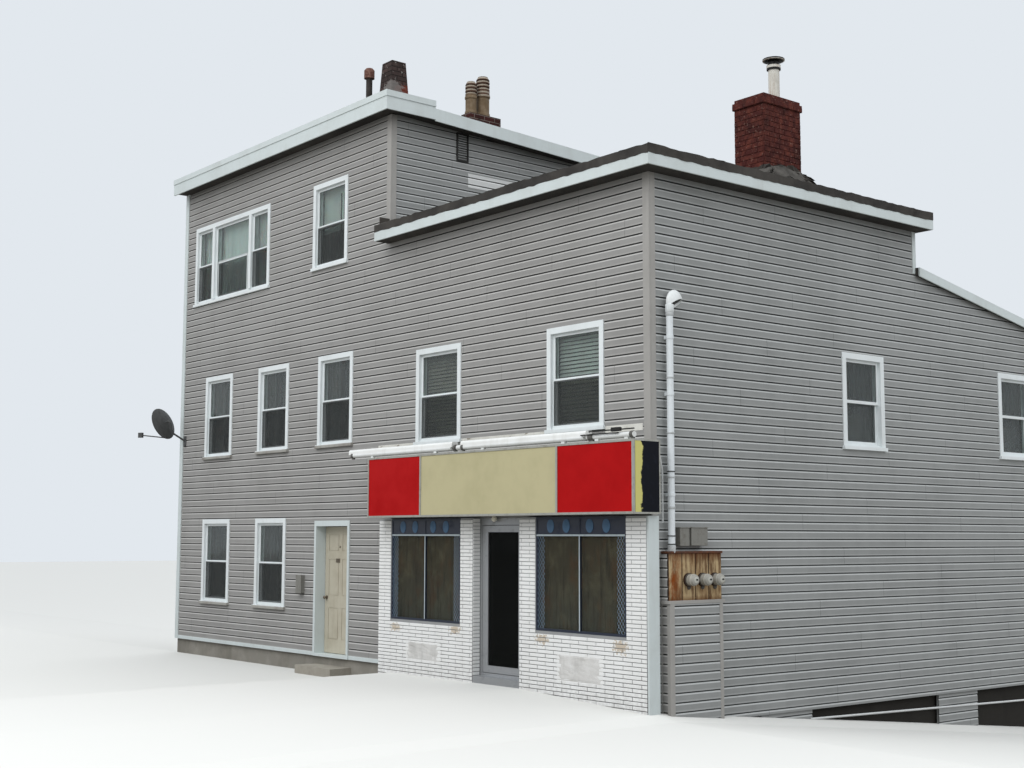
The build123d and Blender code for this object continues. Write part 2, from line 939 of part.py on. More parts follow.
def triple_panes():
    for hand in (-1, 1):
        pane_pair(triple_face, triple_middle, hand * triple_side_x, triple_side_clear, triple_clear_height)
    with BuildSketch(triple_face.offset(-sash_recess - (sash_depth - pane_thickness) / 2)) as fixed_pane:
        with Locations((0, triple_middle)):
            Rectangle(triple_centre_clear - 2 * sash_face, triple_clear_height - 2 * sash_face)
    extrude(fixed_pane.sketch, amount=-pane_thickness)


front_hung = house_second + house_third + house_ground + shop_second
with BuildPart() as front_windows:
    for centre_x, width, sill, height in front_hung:
        sash_window(front_window_face(centre_x, sill), width, height)
    triple_frame()
keep(front_windows.part, "front_windows")

with BuildPart() as side_windows:
    for along, width, sill, height in side_windows_second:
        sash_window(side_window_face(along, sill), width, height)
keep(side_windows.part, "side_windows")

with BuildPart() as rear_windows:
    for centre_x, width, sill, height in house_rear + wing_rear:
        sash_window(rear_window_face(centre_x, sill), width, height)
keep(rear_windows.part, "rear_windows")

with BuildPart() as window_glass:
    for centre_x, width, sill, height in front_hung:
        sash_panes(front_window_face(centre_x, sill), width, height)
    triple_panes()
    for along, width, sill, height in side_windows_second:
        sash_panes(side_window_face(along, sill), width, height)
    for centre_x, width, sill, height in house_rear + wing_rear:
        sash_panes(rear_window_face(centre_x, sill), width, height)
keep(window_glass.part, "window_glass")

# Display windows: a metal frame with a transom and a middle bar, glass, and a board behind it
display_front_y = front_y - brick_proud
display_bar = 20


def display_sheet(depth_in, thickness):
    # a sheet that fills each display window, behind its frame
    for low_x, high_x in display_spans:
        block(
            (low_x, display_front_y + depth_in, above(display_sill)),
            (high_x, display_front_y + depth_in + thickness, above(storefront_head)),
        )


with BuildPart() as display_window_frames:
    for low_x, high_x in display_spans:
        span = high_x - low_x
        with BuildSketch(front_window_face((low_x + high_x) / 2, display_sill, display_front_y)):
            with Locations((0, display_height / 2)):
                Rectangle(span, display_height)
                Rectangle(
                    span - 2 * display_frame,
                    display_height - 2 * display_frame,
                    mode=Mode.SUBTRACT,
                )
                Rectangle(display_bar, display_height - 2 * display_frame)
            with Locations((0, display_height - display_frame - display_transom)):
                Rectangle(span - 2 * display_frame, display_bar)
        extrude(amount=-display_frame_depth)
keep(display_window_frames.part, "display_window_frames")

with BuildPart() as display_window_glass:
    display_sheet(display_frame_depth, pane_thickness)
keep(display_window_glass.part, "display_window_glass")

with BuildPart() as display_window_boards:
    display_sheet(display_frame_depth + pane_thickness, pane_thickness)
keep(display_window_boards.part, "display_window_boards")

# White boards: one closes the brick's end at the shop corner, one ends the front at the party wall
with BuildPart() as corner_board:
    block(
        (house_end_x, front_y - casing_proud, above(house_siding_foot)),
        (from_end(end_board_width), front_y, above(house_wall_top)),
    )
    block(
        (corner_x + brick_end_proud, front_y - brick_proud, above(0)),
        (corner_x + brick_end_proud + corner_board_thickness, front_y, above(storefront_head)),
    )
    block(
        (corner_x, front_y, above(0)),
        (
            corner_x + brick_end_proud + corner_board_thickness,
            front_y + corner_board_thickness,
            above(storefront_head),
        ),
    )
keep(corner_board.part, "corner_board")

# Shop door frame: aluminium jambs and head with a sloping sill, set inside the brick reveal
shop_frame_y = front_y + shop_frame_front
shop_left_jamb_x = doorway_left_x
shop_right_jamb_x = doorway_right_x
shop_sill_foot = above(floor_top)
shop_sill_top = shop_sill_foot + shop_sill_height
shop_leaf_foot = shop_sill_top + leaf_gap
shop_leaf_top = shop_leaf_foot + shop_door_height
shop_frame_top = above(storefront_head)
shop_leaf_left = shop_left_jamb_x + shop_frame_face + leaf_gap
shop_leaf_right = shop_right_jamb_x - shop_frame_face - leaf_gap
shop_leaf_y = shop_frame_y
shop_pin_x = shop_leaf_right + leaf_gap / 2
shop_pin_y = shop_leaf_y - hinge_pin_radius


def hinge_spots(foot, top):
    # the feet of three hinges spread over a leaf
    height = top - foot
    return [foot + share * height - hinge_height / 2 for share in (0.12, 0.5, 0.88)]


def hinge_barrel(x, y, foot, height):
    with Locations((x, y, foot)):
        Cylinder(hinge_pin_radius, height, align=(Align.CENTER, Align.CENTER, Align.MIN))


def fixed_knuckles(x, y, foot, plate_y, plate_x):
    # two outer knuckles and their plates, on the frame
    third = hinge_height / 3
    for low in (foot, foot + 2 * third):
        hinge_barrel(x, y, low, third)
        block((min(x, plate_x), min(y, plate_y), low), (max(x, plate_x), max(y, plate_y), low + third))


def leaf_knuckle(x, y, foot, plate_y, plate_x):
    # the middle knuckle and its plate, on the leaf
    third = hinge_height / 3
    low = foot + third + hinge_play
    high = foot + 2 * third - hinge_play
    hinge_barrel(x, y, low, high - low)
    block((min(x, plate_x), min(y, plate_y), low), (max(x, plate_x), max(y, plate_y), high))


with BuildPart() as shop_door_frame:
    block(
        (shop_left_jamb_x, shop_frame_y, shop_sill_foot),
        (shop_left_jamb_x + shop_frame_face, shop_frame_y + shop_frame_depth, shop_frame_top),
    )
    block(
        (shop_right_jamb_x - shop_frame_face, shop_frame_y, shop_sill_foot),
        (shop_right_jamb_x, shop_frame_y + shop_frame_depth, shop_frame_top),
    )
    block(
        (shop_left_jamb_x, shop_frame_y, shop_leaf_top + leaf_gap),
        (shop_right_jamb_x, shop_frame_y + shop_frame_depth, shop_frame_top),
    )
    block(
        (shop_left_jamb_x, front_y - brick_proud, above(0)),
        (shop_right_jamb_x, inner_front_y, shop_sill_foot),
    )
    block(
        (shop_left_jamb_x, shop_frame_y, shop_sill_foot),
        (shop_right_jamb_x, shop_frame_y + shop_frame_depth, shop_sill_top),
    )
    for hinge_foot in hinge_spots(shop_leaf_foot, shop_leaf_top):
        fixed_knuckles(
            shop_pin_x,
            shop_pin_y,
            hinge_foot,
            shop_frame_y,
            shop_right_jamb_x - shop_frame_face + hinge_plate_reach,
        )
keep(shop_door_frame.part, "shop_door_frame")

with BuildPart() as shop_door:
    with BuildSketch(front_face(shop_leaf_y)):
        with Locations((shop_leaf_left, shop_leaf_foot)):
            Rectangle(shop_leaf_right - shop_leaf_left, shop_door_height, align=(Align.MIN, Align.MIN))
        with Locations((shop_leaf_left + shop_stile, shop_leaf_foot + shop_bottom_rail)):
            Rectangle(
                shop_leaf_right - shop_leaf_left - 2 * shop_stile,
                shop_door_height - shop_bottom_rail - shop_top_rail,
                align=(Align.MIN, Align.MIN),
                mode=Mode.SUBTRACT,
            )
    extrude(amount=-leaf_thickness)
    for hinge_foot in hinge_spots(shop_leaf_foot, shop_leaf_top):
        leaf_knuckle(shop_pin_x, shop_pin_y, hinge_foot, shop_leaf_y, shop_leaf_right - hinge_plate_reach)
keep(shop_door.part, "shop_door")

with BuildPart() as shop_door_glass:
    block(
        (
            shop_leaf_left + shop_stile,
            shop_leaf_y + (leaf_thickness - shop_pane_thickness) / 2,
            shop_leaf_foot + shop_bottom_rail,
        ),
        (
            shop_leaf_right - shop_stile,
            shop_leaf_y + (leaf_thickness + shop_pane_thickness) / 2,
            shop_leaf_top - shop_top_rail,
        ),
    )
keep(shop_door_glass.part, "shop_door_glass")

# Apartment door frame: casing, deep lining and sill, with the leaf set far back
apartment_leaf_y = front_y + apartment_leaf_recess
apartment_leaf_foot = above(apartment_sill_top) + leaf_gap
apartment_leaf_top = above(apartment_head) - leaf_gap
apartment_leaf_left = apartment_left_x + leaf_gap
apartment_leaf_right = apartment_right_x - leaf_gap
apartment_pin_x = apartment_leaf_right + leaf_gap / 2
apartment_pin_y = inner_front_y + hinge_pin_radius

with BuildPart() as apartment_door_frame:
    with BuildSketch(front_face(front_y)):
        with Locations((apartment_x, above(house_siding_foot))):
            Rectangle(
                apartment_clear + 2 * apartment_casing,
                apartment_head - house_siding_foot + apartment_casing * 1.5,
                align=(Align.CENTER, Align.MIN),
            )
            Rectangle(
                apartment_clear,
                apartment_head - house_siding_foot,
                align=(Align.CENTER, Align.MIN),
                mode=Mode.SUBTRACT,
            )
    extrude(amount=casing_proud)
    block(
        (apartment_hole_left, front_y, above(house_siding_foot)),
        (apartment_left_x, inner_front_y, above(apartment_top)),
    )
    block(
        (apartment_right_x, front_y, above(house_siding_foot)),
        (apartment_hole_right, inner_front_y, above(apartment_top)),
    )
    block(
        (apartment_hole_left, front_y, above(apartment_head)),
        (apartment_hole_right, inner_front_y, above(apartment_top)),
    )
    block(
        (apartment_hole_left, front_y - casing_proud, above(house_siding_foot)),
        (apartment_hole_right, inner_front_y, above(apartment_sill_top)),
    )
    for hinge_foot in hinge_spots(apartment_leaf_foot, apartment_leaf_top):
        fixed_knuckles(
            apartment_pin_x,
            apartment_pin_y,
            hinge_foot,
            inner_front_y,
            apartment_right_x + apartment_jamb,
        )
keep(apartment_door_frame.part, "apartment_door_frame")

apartment_leaf_width = apartment_leaf_right - apartment_leaf_left
apartment_leaf_height = apartment_leaf_top - apartment_leaf_foot
field_width = (apartment_leaf_width - 2 * door_stile - door_muntin) / 2
field_rise = apartment_leaf_height - sum(door_rails)


def door_fields():
    # centre and size of each raised field, from the foot up
    foot = apartment_leaf_foot
    for rail, share in zip(door_rails, door_rows):
        foot += rail
        height = share * field_rise
        for column in (0, 1):
            middle_x = apartment_leaf_left + door_stile + field_width / 2 + column * (field_width + door_muntin)
            yield middle_x, foot + height / 2, height
        foot += height


with BuildPart() as apartment_door:
    block(
        (apartment_leaf_left, apartment_leaf_y, apartment_leaf_foot),
        (apartment_leaf_right, inner_front_y, apartment_leaf_top),
    )
    with BuildSketch(front_face(apartment_leaf_y)):
        for middle_x, middle_z, height in door_fields():
            with Locations((middle_x, middle_z)):
                Rectangle(field_width, height)
                Rectangle(field_width - 2 * field_groove, height - 2 * field_groove, mode=Mode.SUBTRACT)
    extrude(amount=-field_depth, mode=Mode.SUBTRACT)
    for hinge_foot in hinge_spots(apartment_leaf_foot, apartment_leaf_top):
        leaf_knuckle(
            apartment_pin_x,
            apartment_pin_y,
            hinge_foot,
            inner_front_y,
            apartment_leaf_right - hinge_plate_reach,
        )
keep(apartment_door.part, "apartment_door")

# Knob on its rose, a small framed plate and the door viewer
knob_x = apartment_leaf_left + knob_backset
knob_z = above(knob_height)
knob_profile = [(33, 0), (33, 6), (14, 12), (12, 32), (25, 40), (28, 52), (20, 63), (9, 67)]
plate_x = apartment_leaf_left + plate_backset
plate_z = above(plate_height)
viewer_x = apartment_leaf_left + viewer_backset
with BuildPart() as apartment_door_hardware:
    ring_stack(Plane(origin=(knob_x, apartment_leaf_y, knob_z), z_dir=(0, -1, 0)), knob_profile, 16)
    block((plate_x - 55, apartment_leaf_y - 8, plate_z - 32), (plate_x + 55, apartment_leaf_y, plate_z + 32))
    with Locations(Plane(origin=(viewer_x, apartment_leaf_y, above(viewer_height)), z_dir=(0, -1, 0))):
        Cylinder(16, 6, align=(Align.CENTER, Align.CENTER, Align.MIN))
keep(apartment_door_hardware.part, "apartment_door_hardware")

# Concrete step at the apartment door
with BuildPart() as front_step:
    block(
        (apartment_x - step_width / 2, front_y - step_tread, 0),
        (apartment_x + step_width / 2, front_y + house_foundation_recess, above(step_top)),
    )
keep(front_step.part, "front_step")

# Sign: a sheet-metal cabinet, open at the front, with three face panels behind a lip
sign_left_x = into_shop(sign_inset)
sign_right_x = corner_x + sign_right_projection
sign_front_y = front_y - sign_depth
sign_foot_z = above(sign_foot)
sign_top_z = sign_foot_z + sign_height
sign_splits = [sign_left_x + sign_left_panel, sign_right_x - sign_right_panel]
with BuildPart() as sign_box:
    block((sign_left_x, sign_front_y, sign_foot_z), (sign_right_x, front_y, sign_top_z))
    cut_block(
        (sign_left_x + sign_sheet, sign_front_y + sign_panel_thickness, sign_foot_z + sign_sheet),
        (sign_right_x - sign_sheet, front_y - sign_sheet, sign_top_z - sign_sheet),
    )
    cut_block(
        (sign_left_x + sign_lip, sign_front_y, sign_foot_z + sign_lip),
        (sign_right_x - sign_lip, sign_front_y + sign_panel_thickness, sign_top_z - sign_lip),
    )
    for split_x in sign_splits:
        block(
            (split_x - sign_bar / 2, sign_front_y, sign_foot_z + sign_lip / 2),
            (split_x + sign_bar / 2, sign_front_y + sign_panel_thickness, sign_top_z - sign_lip / 2),
        )
keep(sign_box.part, "sign_box")

panel_ends = [sign_left_x + sign_sheet, *sign_splits, sign_right_x - sign_sheet]
with BuildPart() as sign_panels:
    for low_x, high_x in zip(panel_ends, panel_ends[1:]):
        block(
            (low_x + panel_gap, sign_front_y + sign_panel_thickness, sign_foot_z + sign_sheet),
            (high_x - panel_gap, sign_front_y + 2 * sign_panel_thickness, sign_top_z - sign_sheet),
        )
keep(sign_panels.part, "sign_panels")

first_left, second_right, second_left, third_right = lamp_edges
lamp_spans = [
    (sign_left_x - lamp_overhang, from_corner(first_left)),
    (from_corner(second_right), from_corner(second_left)),
    (from_corner(third_right), corner_x + lamp_right_overhang),
]
lamp_y = sign_front_y + lamp_setback
lamp_z = sign_top_z + lamp_radius + lamp_lift
with BuildPart() as sign_lamps:
    for low_x, high_x in lamp_spans:
        with BuildSketch(side_face(low_x)):
            with Locations((lamp_y, lamp_z)):
                Circle(lamp_radius)
        extrude(amount=high_x - low_x)
        for share in lamp_feet:
            foot_x = low_x + share * (high_x - low_x)
            block((foot_x - 30, lamp_y - 20, sign_top_z), (foot_x + 30, lamp_y + 20, lamp_z))
keep(sign_lamps.part, "sign_lamps")


def window_edges(place):
    return place[0] - place[1] / 2, place[0] + place[1] / 2


left_low, left_high = window_edges(shop_left_window)
right_low, right_high = window_edges(shop_right_window)
backing_spans = [
    (sign_left_x - backing_left_end, left_low - backing_gap),
    (left_high + backing_gap, right_low - backing_gap),
    (right_high + backing_gap, from_corner(backing_right_end)),
]
with BuildPart() as sign_backing_boards:
    for low_x, high_x in backing_spans:
        block(
            (low_x, front_y - backing_thickness, above(backing_foot)),
            (high_x, front_y, above(backing_foot + backing_height)),
        )
keep(sign_backing_boards.part, "sign_backing_boards")

# Small lamp under the sign, by the shop door
lamp_place = Plane(
    origin=(doorway_left_x + door_lamp_from_jamb, front_y - brick_proud / 2, sign_foot_z),
    z_dir=(0, 0, -1),
)
lamp_outline = [
    (door_lamp_radius * 0.8, 0),
    (door_lamp_radius * 0.8, door_lamp_neck - 1),
    (door_lamp_radius, door_lamp_neck),
    (door_lamp_radius, door_lamp_neck + door_lamp_depth * 0.5),
    (door_lamp_radius * 0.7, door_lamp_neck + door_lamp_depth * 0.85),
    (door_lamp_radius * 0.3, door_lamp_neck + door_lamp_depth),
]
with BuildPart() as door_lamp:
    ring_stack(lamp_place, lamp_outline, 16)
keep(door_lamp.part, "door_lamp")

# Red brick stack with an oversailing head, and its metal flue
red_bed = shop_roof_top
with BuildPart() as red_chimney:
    block((red_left_x, red_front_y, red_bed), (red_right_x, red_rear_y, above(red_chimney_top)))
    block(
        (
            red_left_x - red_chimney_corbel,
            red_front_y - red_chimney_corbel,
            above(red_chimney_top - red_chimney_corbel_height),
        ),
        (
            red_right_x + red_chimney_corbel,
            red_rear_y + red_chimney_corbel,
            above(red_chimney_top - red_chimney_corbel_height / 3),
        ),
    )
    ring_cut(
        Plane(origin=(from_corner(flue_left), back(flue_back), above(red_chimney_top))),
        flue_radius,
        flue_seat,
        20,
    )
keep(red_chimney.part, "red_chimney")

flue_foot = above(red_chimney_top) - flue_seat
flue_rise = above(flue_top) - flue_foot
flue_outline = [(flue_radius, 0), (flue_radius, flue_rise - 190), (flue_radius + 22, flue_rise - 188)]
flue_outline += [(flue_radius + 22, flue_rise - 122), (flue_radius, flue_rise - 120), (flue_radius, flue_rise - 70)]
flue_outline += [(flue_cap_radius, flue_rise - 52), (flue_cap_radius, flue_rise - 30), (flue_radius / 2, flue_rise)]
with BuildPart() as flue_pipe:
    ring_stack(Plane(origin=(from_corner(flue_left), back(flue_back), flue_foot)), flue_outline, 20)
keep(flue_pipe.part, "flue_pipe")


# Small tapered stack near the front corner of the upper roof
front_stack_x = from_divide(front_chimney_side) - front_chimney_width / 2
front_stack_y = back(front_chimney_front) + front_chimney_length / 2
front_stack_foot = upper_surface(front_stack_y + front_chimney_length)
front_stack_head = above(front_chimney_top)
roof_slope = Plane(
    origin=(0, inner_front_y, upper_surface(front_y)),
    x_dir=(1, 0, 0),
    z_dir=(0, upper_roof_fall, 1),
)
with BuildPart() as front_chimney:
    with BuildSketch(Plane.XY.offset(front_stack_foot)):
        with Locations((front_stack_x, front_stack_y)):
            Rectangle(
                front_chimney_width + 2 * front_chimney_spread,
                front_chimney_length + 2 * front_chimney_spread,
            )
    with BuildSketch(Plane.XY.offset(front_stack_head)):
        with Locations((front_stack_x, front_stack_y)):
            Rectangle(front_chimney_width, front_chimney_length)
    loft(ruled=True)
    split(bisect_by=roof_slope, keep=Keep.TOP)
    with Locations((front_stack_x, front_stack_y, front_stack_head)):
        Box(
            front_chimney_width - 120,
            front_chimney_length - 120,
            300,
            align=(Align.CENTER, Align.CENTER, Align.MAX),
            mode=Mode.SUBTRACT,
        )
keep(front_chimney.part, "front_chimney")

# Plumbing vent with a rusty cap
vent_x = from_divide(vent_left)
vent_y = back(vent_back)
vent_foot = upper_surface(vent_y + 200)
vent_rise = above(vent_top) - vent_foot
vent_outline = [(vent_radius * 1.6, 0), (vent_radius, 60), (vent_radius, vent_rise - 172)]
vent_outline += [(vent_radius * 1.65, vent_rise - 170), (vent_radius * 1.65, vent_rise - 35), (vent_radius * 1.1, vent_rise)]
with BuildPart() as vent_pipe:
    ring_stack(Plane(origin=(vent_x, vent_y, vent_foot)), vent_outline, 16)
    split(bisect_by=roof_slope, keep=Keep.TOP)
keep(vent_pipe.part, "vent_pipe")

# Stack with two banded clay pots
pot_right_x = from_divide(pot_stack_side)
pot_front_y = back(pot_stack_front)
pot_middle_x = pot_right_x - pot_stack_width / 2
pot_bed = upper_surface(pot_front_y + pot_stack_length)
with BuildPart() as pot_stack:
    with BuildSketch(side_face(pot_right_x)):
        with BuildLine():
            Polyline(
                (pot_front_y, upper_surface(pot_front_y)),
                (pot_front_y + pot_stack_length, upper_surface(pot_front_y + pot_stack_length)),
                (pot_front_y + pot_stack_length, above(pot_stack_top)),
                (pot_front_y, above(pot_stack_top)),
                close=True,
            )
        make_face()
    extrude(amount=-pot_stack_width)
keep(pot_stack.part, "pot_stack")

pot_lips = 3
pot_lip_pitch = 62
pot_lip_height = 24
pot_flue_depth = 200


def pot_outline(height, radius):
    # rings of a pot: a banded shaft under a head with ribs
    head = height - 60 - pot_lips * pot_lip_pitch
    rings = [(radius * 1.06, 0), (radius * 1.06, 45), (radius * 0.96, 60), (radius * 0.96, height * 0.45)]
    rings += [(radius * 1.08, height * 0.48), (radius * 1.08, height * 0.53), (radius, min(height * 0.56, head - 5))]
    for lip in range(pot_lips):
        low = head + lip * pot_lip_pitch
        rings += [(radius, low + 2), (radius, low + pot_lip_pitch - pot_lip_height - 2)]
        rings += [(radius * 0.84, low + pot_lip_pitch - pot_lip_height), (radius * 0.84, low + pot_lip_pitch)]
    return rings + [(radius, height - 58), (radius * 0.72, height)]


with BuildPart() as clay_pots:
    for pot_height, pot_radius, pot_back in zip(pot_heights, pot_radii, pot_backs):
        pot_foot = Plane(origin=(pot_middle_x, back(pot_back), above(pot_stack_top)))
        ring_stack(pot_foot, pot_outline(pot_height, pot_radius), 20)
        ring_cut(pot_foot.offset(pot_height), pot_radius * 0.55, pot_flue_depth, 20)
keep(clay_pots.part, "clay_pots")

# Service mast on the side wall with its straps and rain hood
mast_x = corner_x + mast_stand_off
mast_y = back(mast_back)
with BuildPart() as service_mast:
    with BuildSketch(Plane.XY.offset(above(mast_foot))):
        with Locations((mast_x, mast_y)):
            RegularPolygon(mast_radius, 20)
            RegularPolygon(mast_radius - 5, 20, mode=Mode.SUBTRACT)
    extrude(amount=mast_top - mast_foot)
    for strap_height in strap_heights:
        with BuildSketch(Plane.XY.offset(above(strap_height))):
            with Locations((mast_x, mast_y)):
                RegularPolygon(mast_radius + 6, 20)
            with Locations(((corner_x + mast_x) / 2, mast_y)):
                Rectangle(mast_stand_off, 40)
            with Locations((corner_x + 3, mast_y)):
                Rectangle(6, 96)
            with Locations((mast_x, mast_y)):
                RegularPolygon(mast_radius, 20, mode=Mode.SUBTRACT)
        extrude(amount=42)
keep(service_mast.part, "service_mast")

hood_back = mast_radius + hood_wall
with BuildPart() as weather_hood:
    with BuildSketch(side_face(mast_x)):
        with BuildLine():
            Polyline(
                (mast_y - hood_back, above(mast_top) - 40),
                (mast_y - hood_back, above(mast_top) + 110),
                (mast_y - 22, above(mast_top) + 190),
                (mast_y + 38, above(mast_top) + 240),
                (mast_y + 100, above(mast_top) + 250),
                (mast_y + 160, above(mast_top) + 215),
                (mast_y + 205, above(mast_top) + 140),
                (mast_y + 222, above(mast_top) + 60),
                (mast_y + 216, above(mast_top) + 40),
                (mast_y + hood_back, above(mast_top) + 5),
                (mast_y + hood_back, above(mast_top) - 40),
                close=True,
            )
        make_face()
    extrude(amount=hood_half_width, both=True)
    with BuildSketch(side_face(mast_x)):
        with BuildLine():
            Polyline(
                (mast_y - mast_radius, above(mast_top) - 50),
                (mast_y - mast_radius, above(mast_top) + 108),
                (mast_y - 18, above(mast_top) + 184),
                (mast_y + 40, above(mast_top) + 232),
                (mast_y + 98, above(mast_top) + 242),
                (mast_y + 155, above(mast_top) + 209),
                (mast_y + 199, above(mast_top) + 137),
                (mast_y + 215, above(mast_top) + 60),
                (mast_y + 208, above(mast_top) + 26),
                (mast_y + mast_radius, above(mast_top) - 8),
                (mast_y + mast_radius, above(mast_top) - 50),
                close=True,
            )
        make_face()
    extrude(amount=hood_half_width - hood_wall, both=True, mode=Mode.SUBTRACT)
keep(weather_hood.part, "weather_hood")

# Meter panel with three round meters, a fourth blank place, and the clad enclosure below
panel_foot_z = above(panel_foot)
with BuildPart() as meter_panel:
    with BuildSketch(side_face(corner_x)):
        with Locations((back(panel_back + panel_length / 2), panel_foot_z + panel_height / 2)):
            Rectangle(panel_length, panel_height)
    extrude(amount=panel_depth)
    for meter_back in meter_backs:
        with BuildSketch(side_face(corner_x + panel_depth)):
            with Locations((back(meter_back), above(meter_height))):
                Circle(meter_radius + 14)
        extrude(amount=socket_reach)
keep(meter_panel.part, "meter_panel")

meter_seat_x = corner_x + panel_depth + socket_reach
meter_outline = [(meter_radius, 0), (meter_radius, 88), (meter_radius * 0.88, 108), (meter_radius * 0.6, 116)]
with BuildPart() as electric_meters:
    for meter_back in meter_backs:
        meter_seat = Plane(origin=(meter_seat_x, back(meter_back), above(meter_height)), z_dir=(1, 0, 0))
        ring_stack(meter_seat, meter_outline, 24)
keep(electric_meters.part, "electric_meters")

enclosure_front_y = back(enclosure_back)
enclosure_rear_y = enclosure_front_y + enclosure_length
with BuildPart() as meter_enclosure:
    with BuildSketch(side_face(corner_x)):
        with BuildLine():
            Polyline(
                (enclosure_front_y, above(enclosure_foot_front)),
                (enclosure_rear_y, above(enclosure_foot_rear)),
                (enclosure_rear_y, panel_foot_z),
                (enclosure_front_y, panel_foot_z),
                close=True,
            )
        make_face()
    extrude(amount=enclosure_depth)
keep(meter_enclosure.part, "meter_enclosure")

with BuildPart() as service_boxes:
    for along, length, foot, height, reach in service_boxes_at:
        block(
            (corner_x, back(along), above(foot)),
            (corner_x + reach, back(along + length), above(foot + height)),
        )
    block(
        (from_end(phone_box_from_end), front_y - phone_box_depth, above(phone_box_foot)),
        (
            from_end(phone_box_from_end + phone_box_width),
            front_y,
            above(phone_box_foot + phone_box_height),
        ),
    )
keep(service_boxes.part, "service_boxes")

# White conduit from the sign round the corner, and the waste pipe under the side siding
pipe_x = corner_x - skirt_inset + skirt_thickness + side_pipe_radius + 0.3
side_pipe_run = depth - side_pipe_back - wall
with BuildPart() as wall_pipes:
    conduit_x = corner_x + conduit_radius
    with BuildLine():
        conduit_line = FilletPolyline(
            *[(conduit_x, back(along), above(height)) for along, height in conduit_route],
            radius=conduit_bend,
        )
    with BuildSketch(Plane(origin=conduit_line @ 0, z_dir=conduit_line % 0)):
        Circle(conduit_radius)
    sweep()
    with BuildSketch(
        Plane(
            origin=(pipe_x, back(side_pipe_back), above(side_pipe_start_height)),
            x_dir=(1, 0, 0),
            z_dir=(0, 1, -side_pipe_fall),
        )
    ):
        Circle(side_pipe_radius)
    extrude(amount=side_pipe_run)
keep(wall_pipes.part, "wall_pipes")

with BuildPart() as skirt_panels:
    for along, length, drop in skirts_at:
        block(
            (corner_x - skirt_inset, back(along), above(side_siding_foot - drop)),
            (corner_x - skirt_inset + skirt_thickness, back(along + length), above(side_siding_foot)),
        )
keep(skirt_panels.part, "skirt_panels")

# Louvred vent high on the side of the house
louvre_rim = 22
louvre_depth = 40
louvre_blades = 11
with BuildPart() as louvre_vent:
    louvre_middle_y = back(louvre_back + louvre_width / 2)
    louvre_middle_z = above(louvre_foot + louvre_height / 2)
    with BuildSketch(side_face(shop_left_x)):
        with Locations((louvre_middle_y, louvre_middle_z)):
            Rectangle(louvre_width, louvre_height)
            Rectangle(louvre_width - 2 * louvre_rim, louvre_height - 2 * louvre_rim, mode=Mode.SUBTRACT)
    extrude(amount=louvre_depth)
    blade_pitch = (louvre_height - 2 * louvre_rim) / louvre_blades
    with BuildSketch(front_face(louvre_middle_y - louvre_width / 2 + louvre_rim)):
        for blade in range(louvre_blades):
            blade_foot = above(louvre_foot) + louvre_rim - 4 + blade * blade_pitch
            with BuildLine():
                Polyline(
                    (shop_left_x + louvre_depth - 4, blade_foot),
                    (shop_left_x + louvre_depth - 4, blade_foot + 5),
                    (shop_left_x + 2, blade_foot + blade_pitch * 0.8),
                    (shop_left_x + 2, blade_foot + blade_pitch * 0.8 - 5),
                    close=True,
                )
            make_face()
    extrude(amount=-(louvre_width - 2 * louvre_rim))
keep(louvre_vent.part, "louvre_vent")

# Dish at the party wall end: wall plate, cranked pole, shallow round dish, feed arm and its head
dish_plate_x = from_end(dish_plate_from_end)
dish_plate_z = above(dish_height - dish_foot_drop)
dish_centre = (from_end(dish_from_end), front_y - dish_stand_off, above(dish_height))
dish_aim = Location(dish_centre) * Rot(0, 0, -dish_turn) * Rot(dish_tilt, 0, 0)
dish_frame = dish_aim * Rot(90, 0, 0)
dish_curve = [(1, 0), (0.7, 0.5), (0.38, 0.86), (0.12, 1)]


def from_dish(across, out, up):
    # a place given from the middle of the dish: across it, out of its face and up its height
    return (dish_aim * Location((across, -out, up))).position


with BuildPart() as satellite_dish:
    plate_width, plate_height, plate_thickness = dish_plate
    block(
        (dish_plate_x - plate_width / 2, front_y - plate_thickness, dish_plate_z - plate_height / 2),
        (dish_plate_x + plate_width / 2, front_y, dish_plate_z + plate_height / 2),
    )
    with BuildLine():
        pole_line = FilletPolyline(
            (dish_plate_x, front_y - plate_thickness / 2, dish_plate_z),
            (dish_plate_x - 10, front_y - dish_stand_off * 0.72, dish_plate_z + dish_foot_drop / 2),
            from_dish(0, -dish_crown - dish_pole_back, 0),
            from_dish(0, dish_wall / 2 - dish_crown, 0),
            radius=35,
        )
    with BuildSketch(Plane(origin=pole_line @ 0, z_dir=pole_line % 0)):
        RegularPolygon(dish_pole_radius, 10)
    sweep()
    ring_stack(Plane(dish_frame), [(share * dish_radius, -fall * dish_crown) for share, fall in dish_curve], 28)
    ring_stack(
        Plane(dish_frame),
        [(share * dish_radius - dish_wall, fall * (dish_wall - dish_crown)) for share, fall in dish_curve],
        28,
        Mode.SUBTRACT,
    )
    feed_foot = from_dish(0, -dish_wall * 0.6, 20 - dish_radius)
    level_out = Rot(0, 0, -dish_turn) * Location((0, -feed_reach, -feed_drop))
    feed_end = (Location(dish_centre) * level_out).position
    arm = feed_end - feed_foot
    with BuildSketch(Plane(origin=feed_foot, z_dir=arm)):
        RegularPolygon(feed_arm_radius, 8)
    extrude(amount=arm.length)
    with Locations(Location(feed_end) * Rot(0, 0, -dish_turn)):
        Box(*feed_head)
keep(satellite_dish.part, "satellite_dish")
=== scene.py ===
import bmesh
import bpy
import json
import math
import random
from mathutils import Matrix, Vector


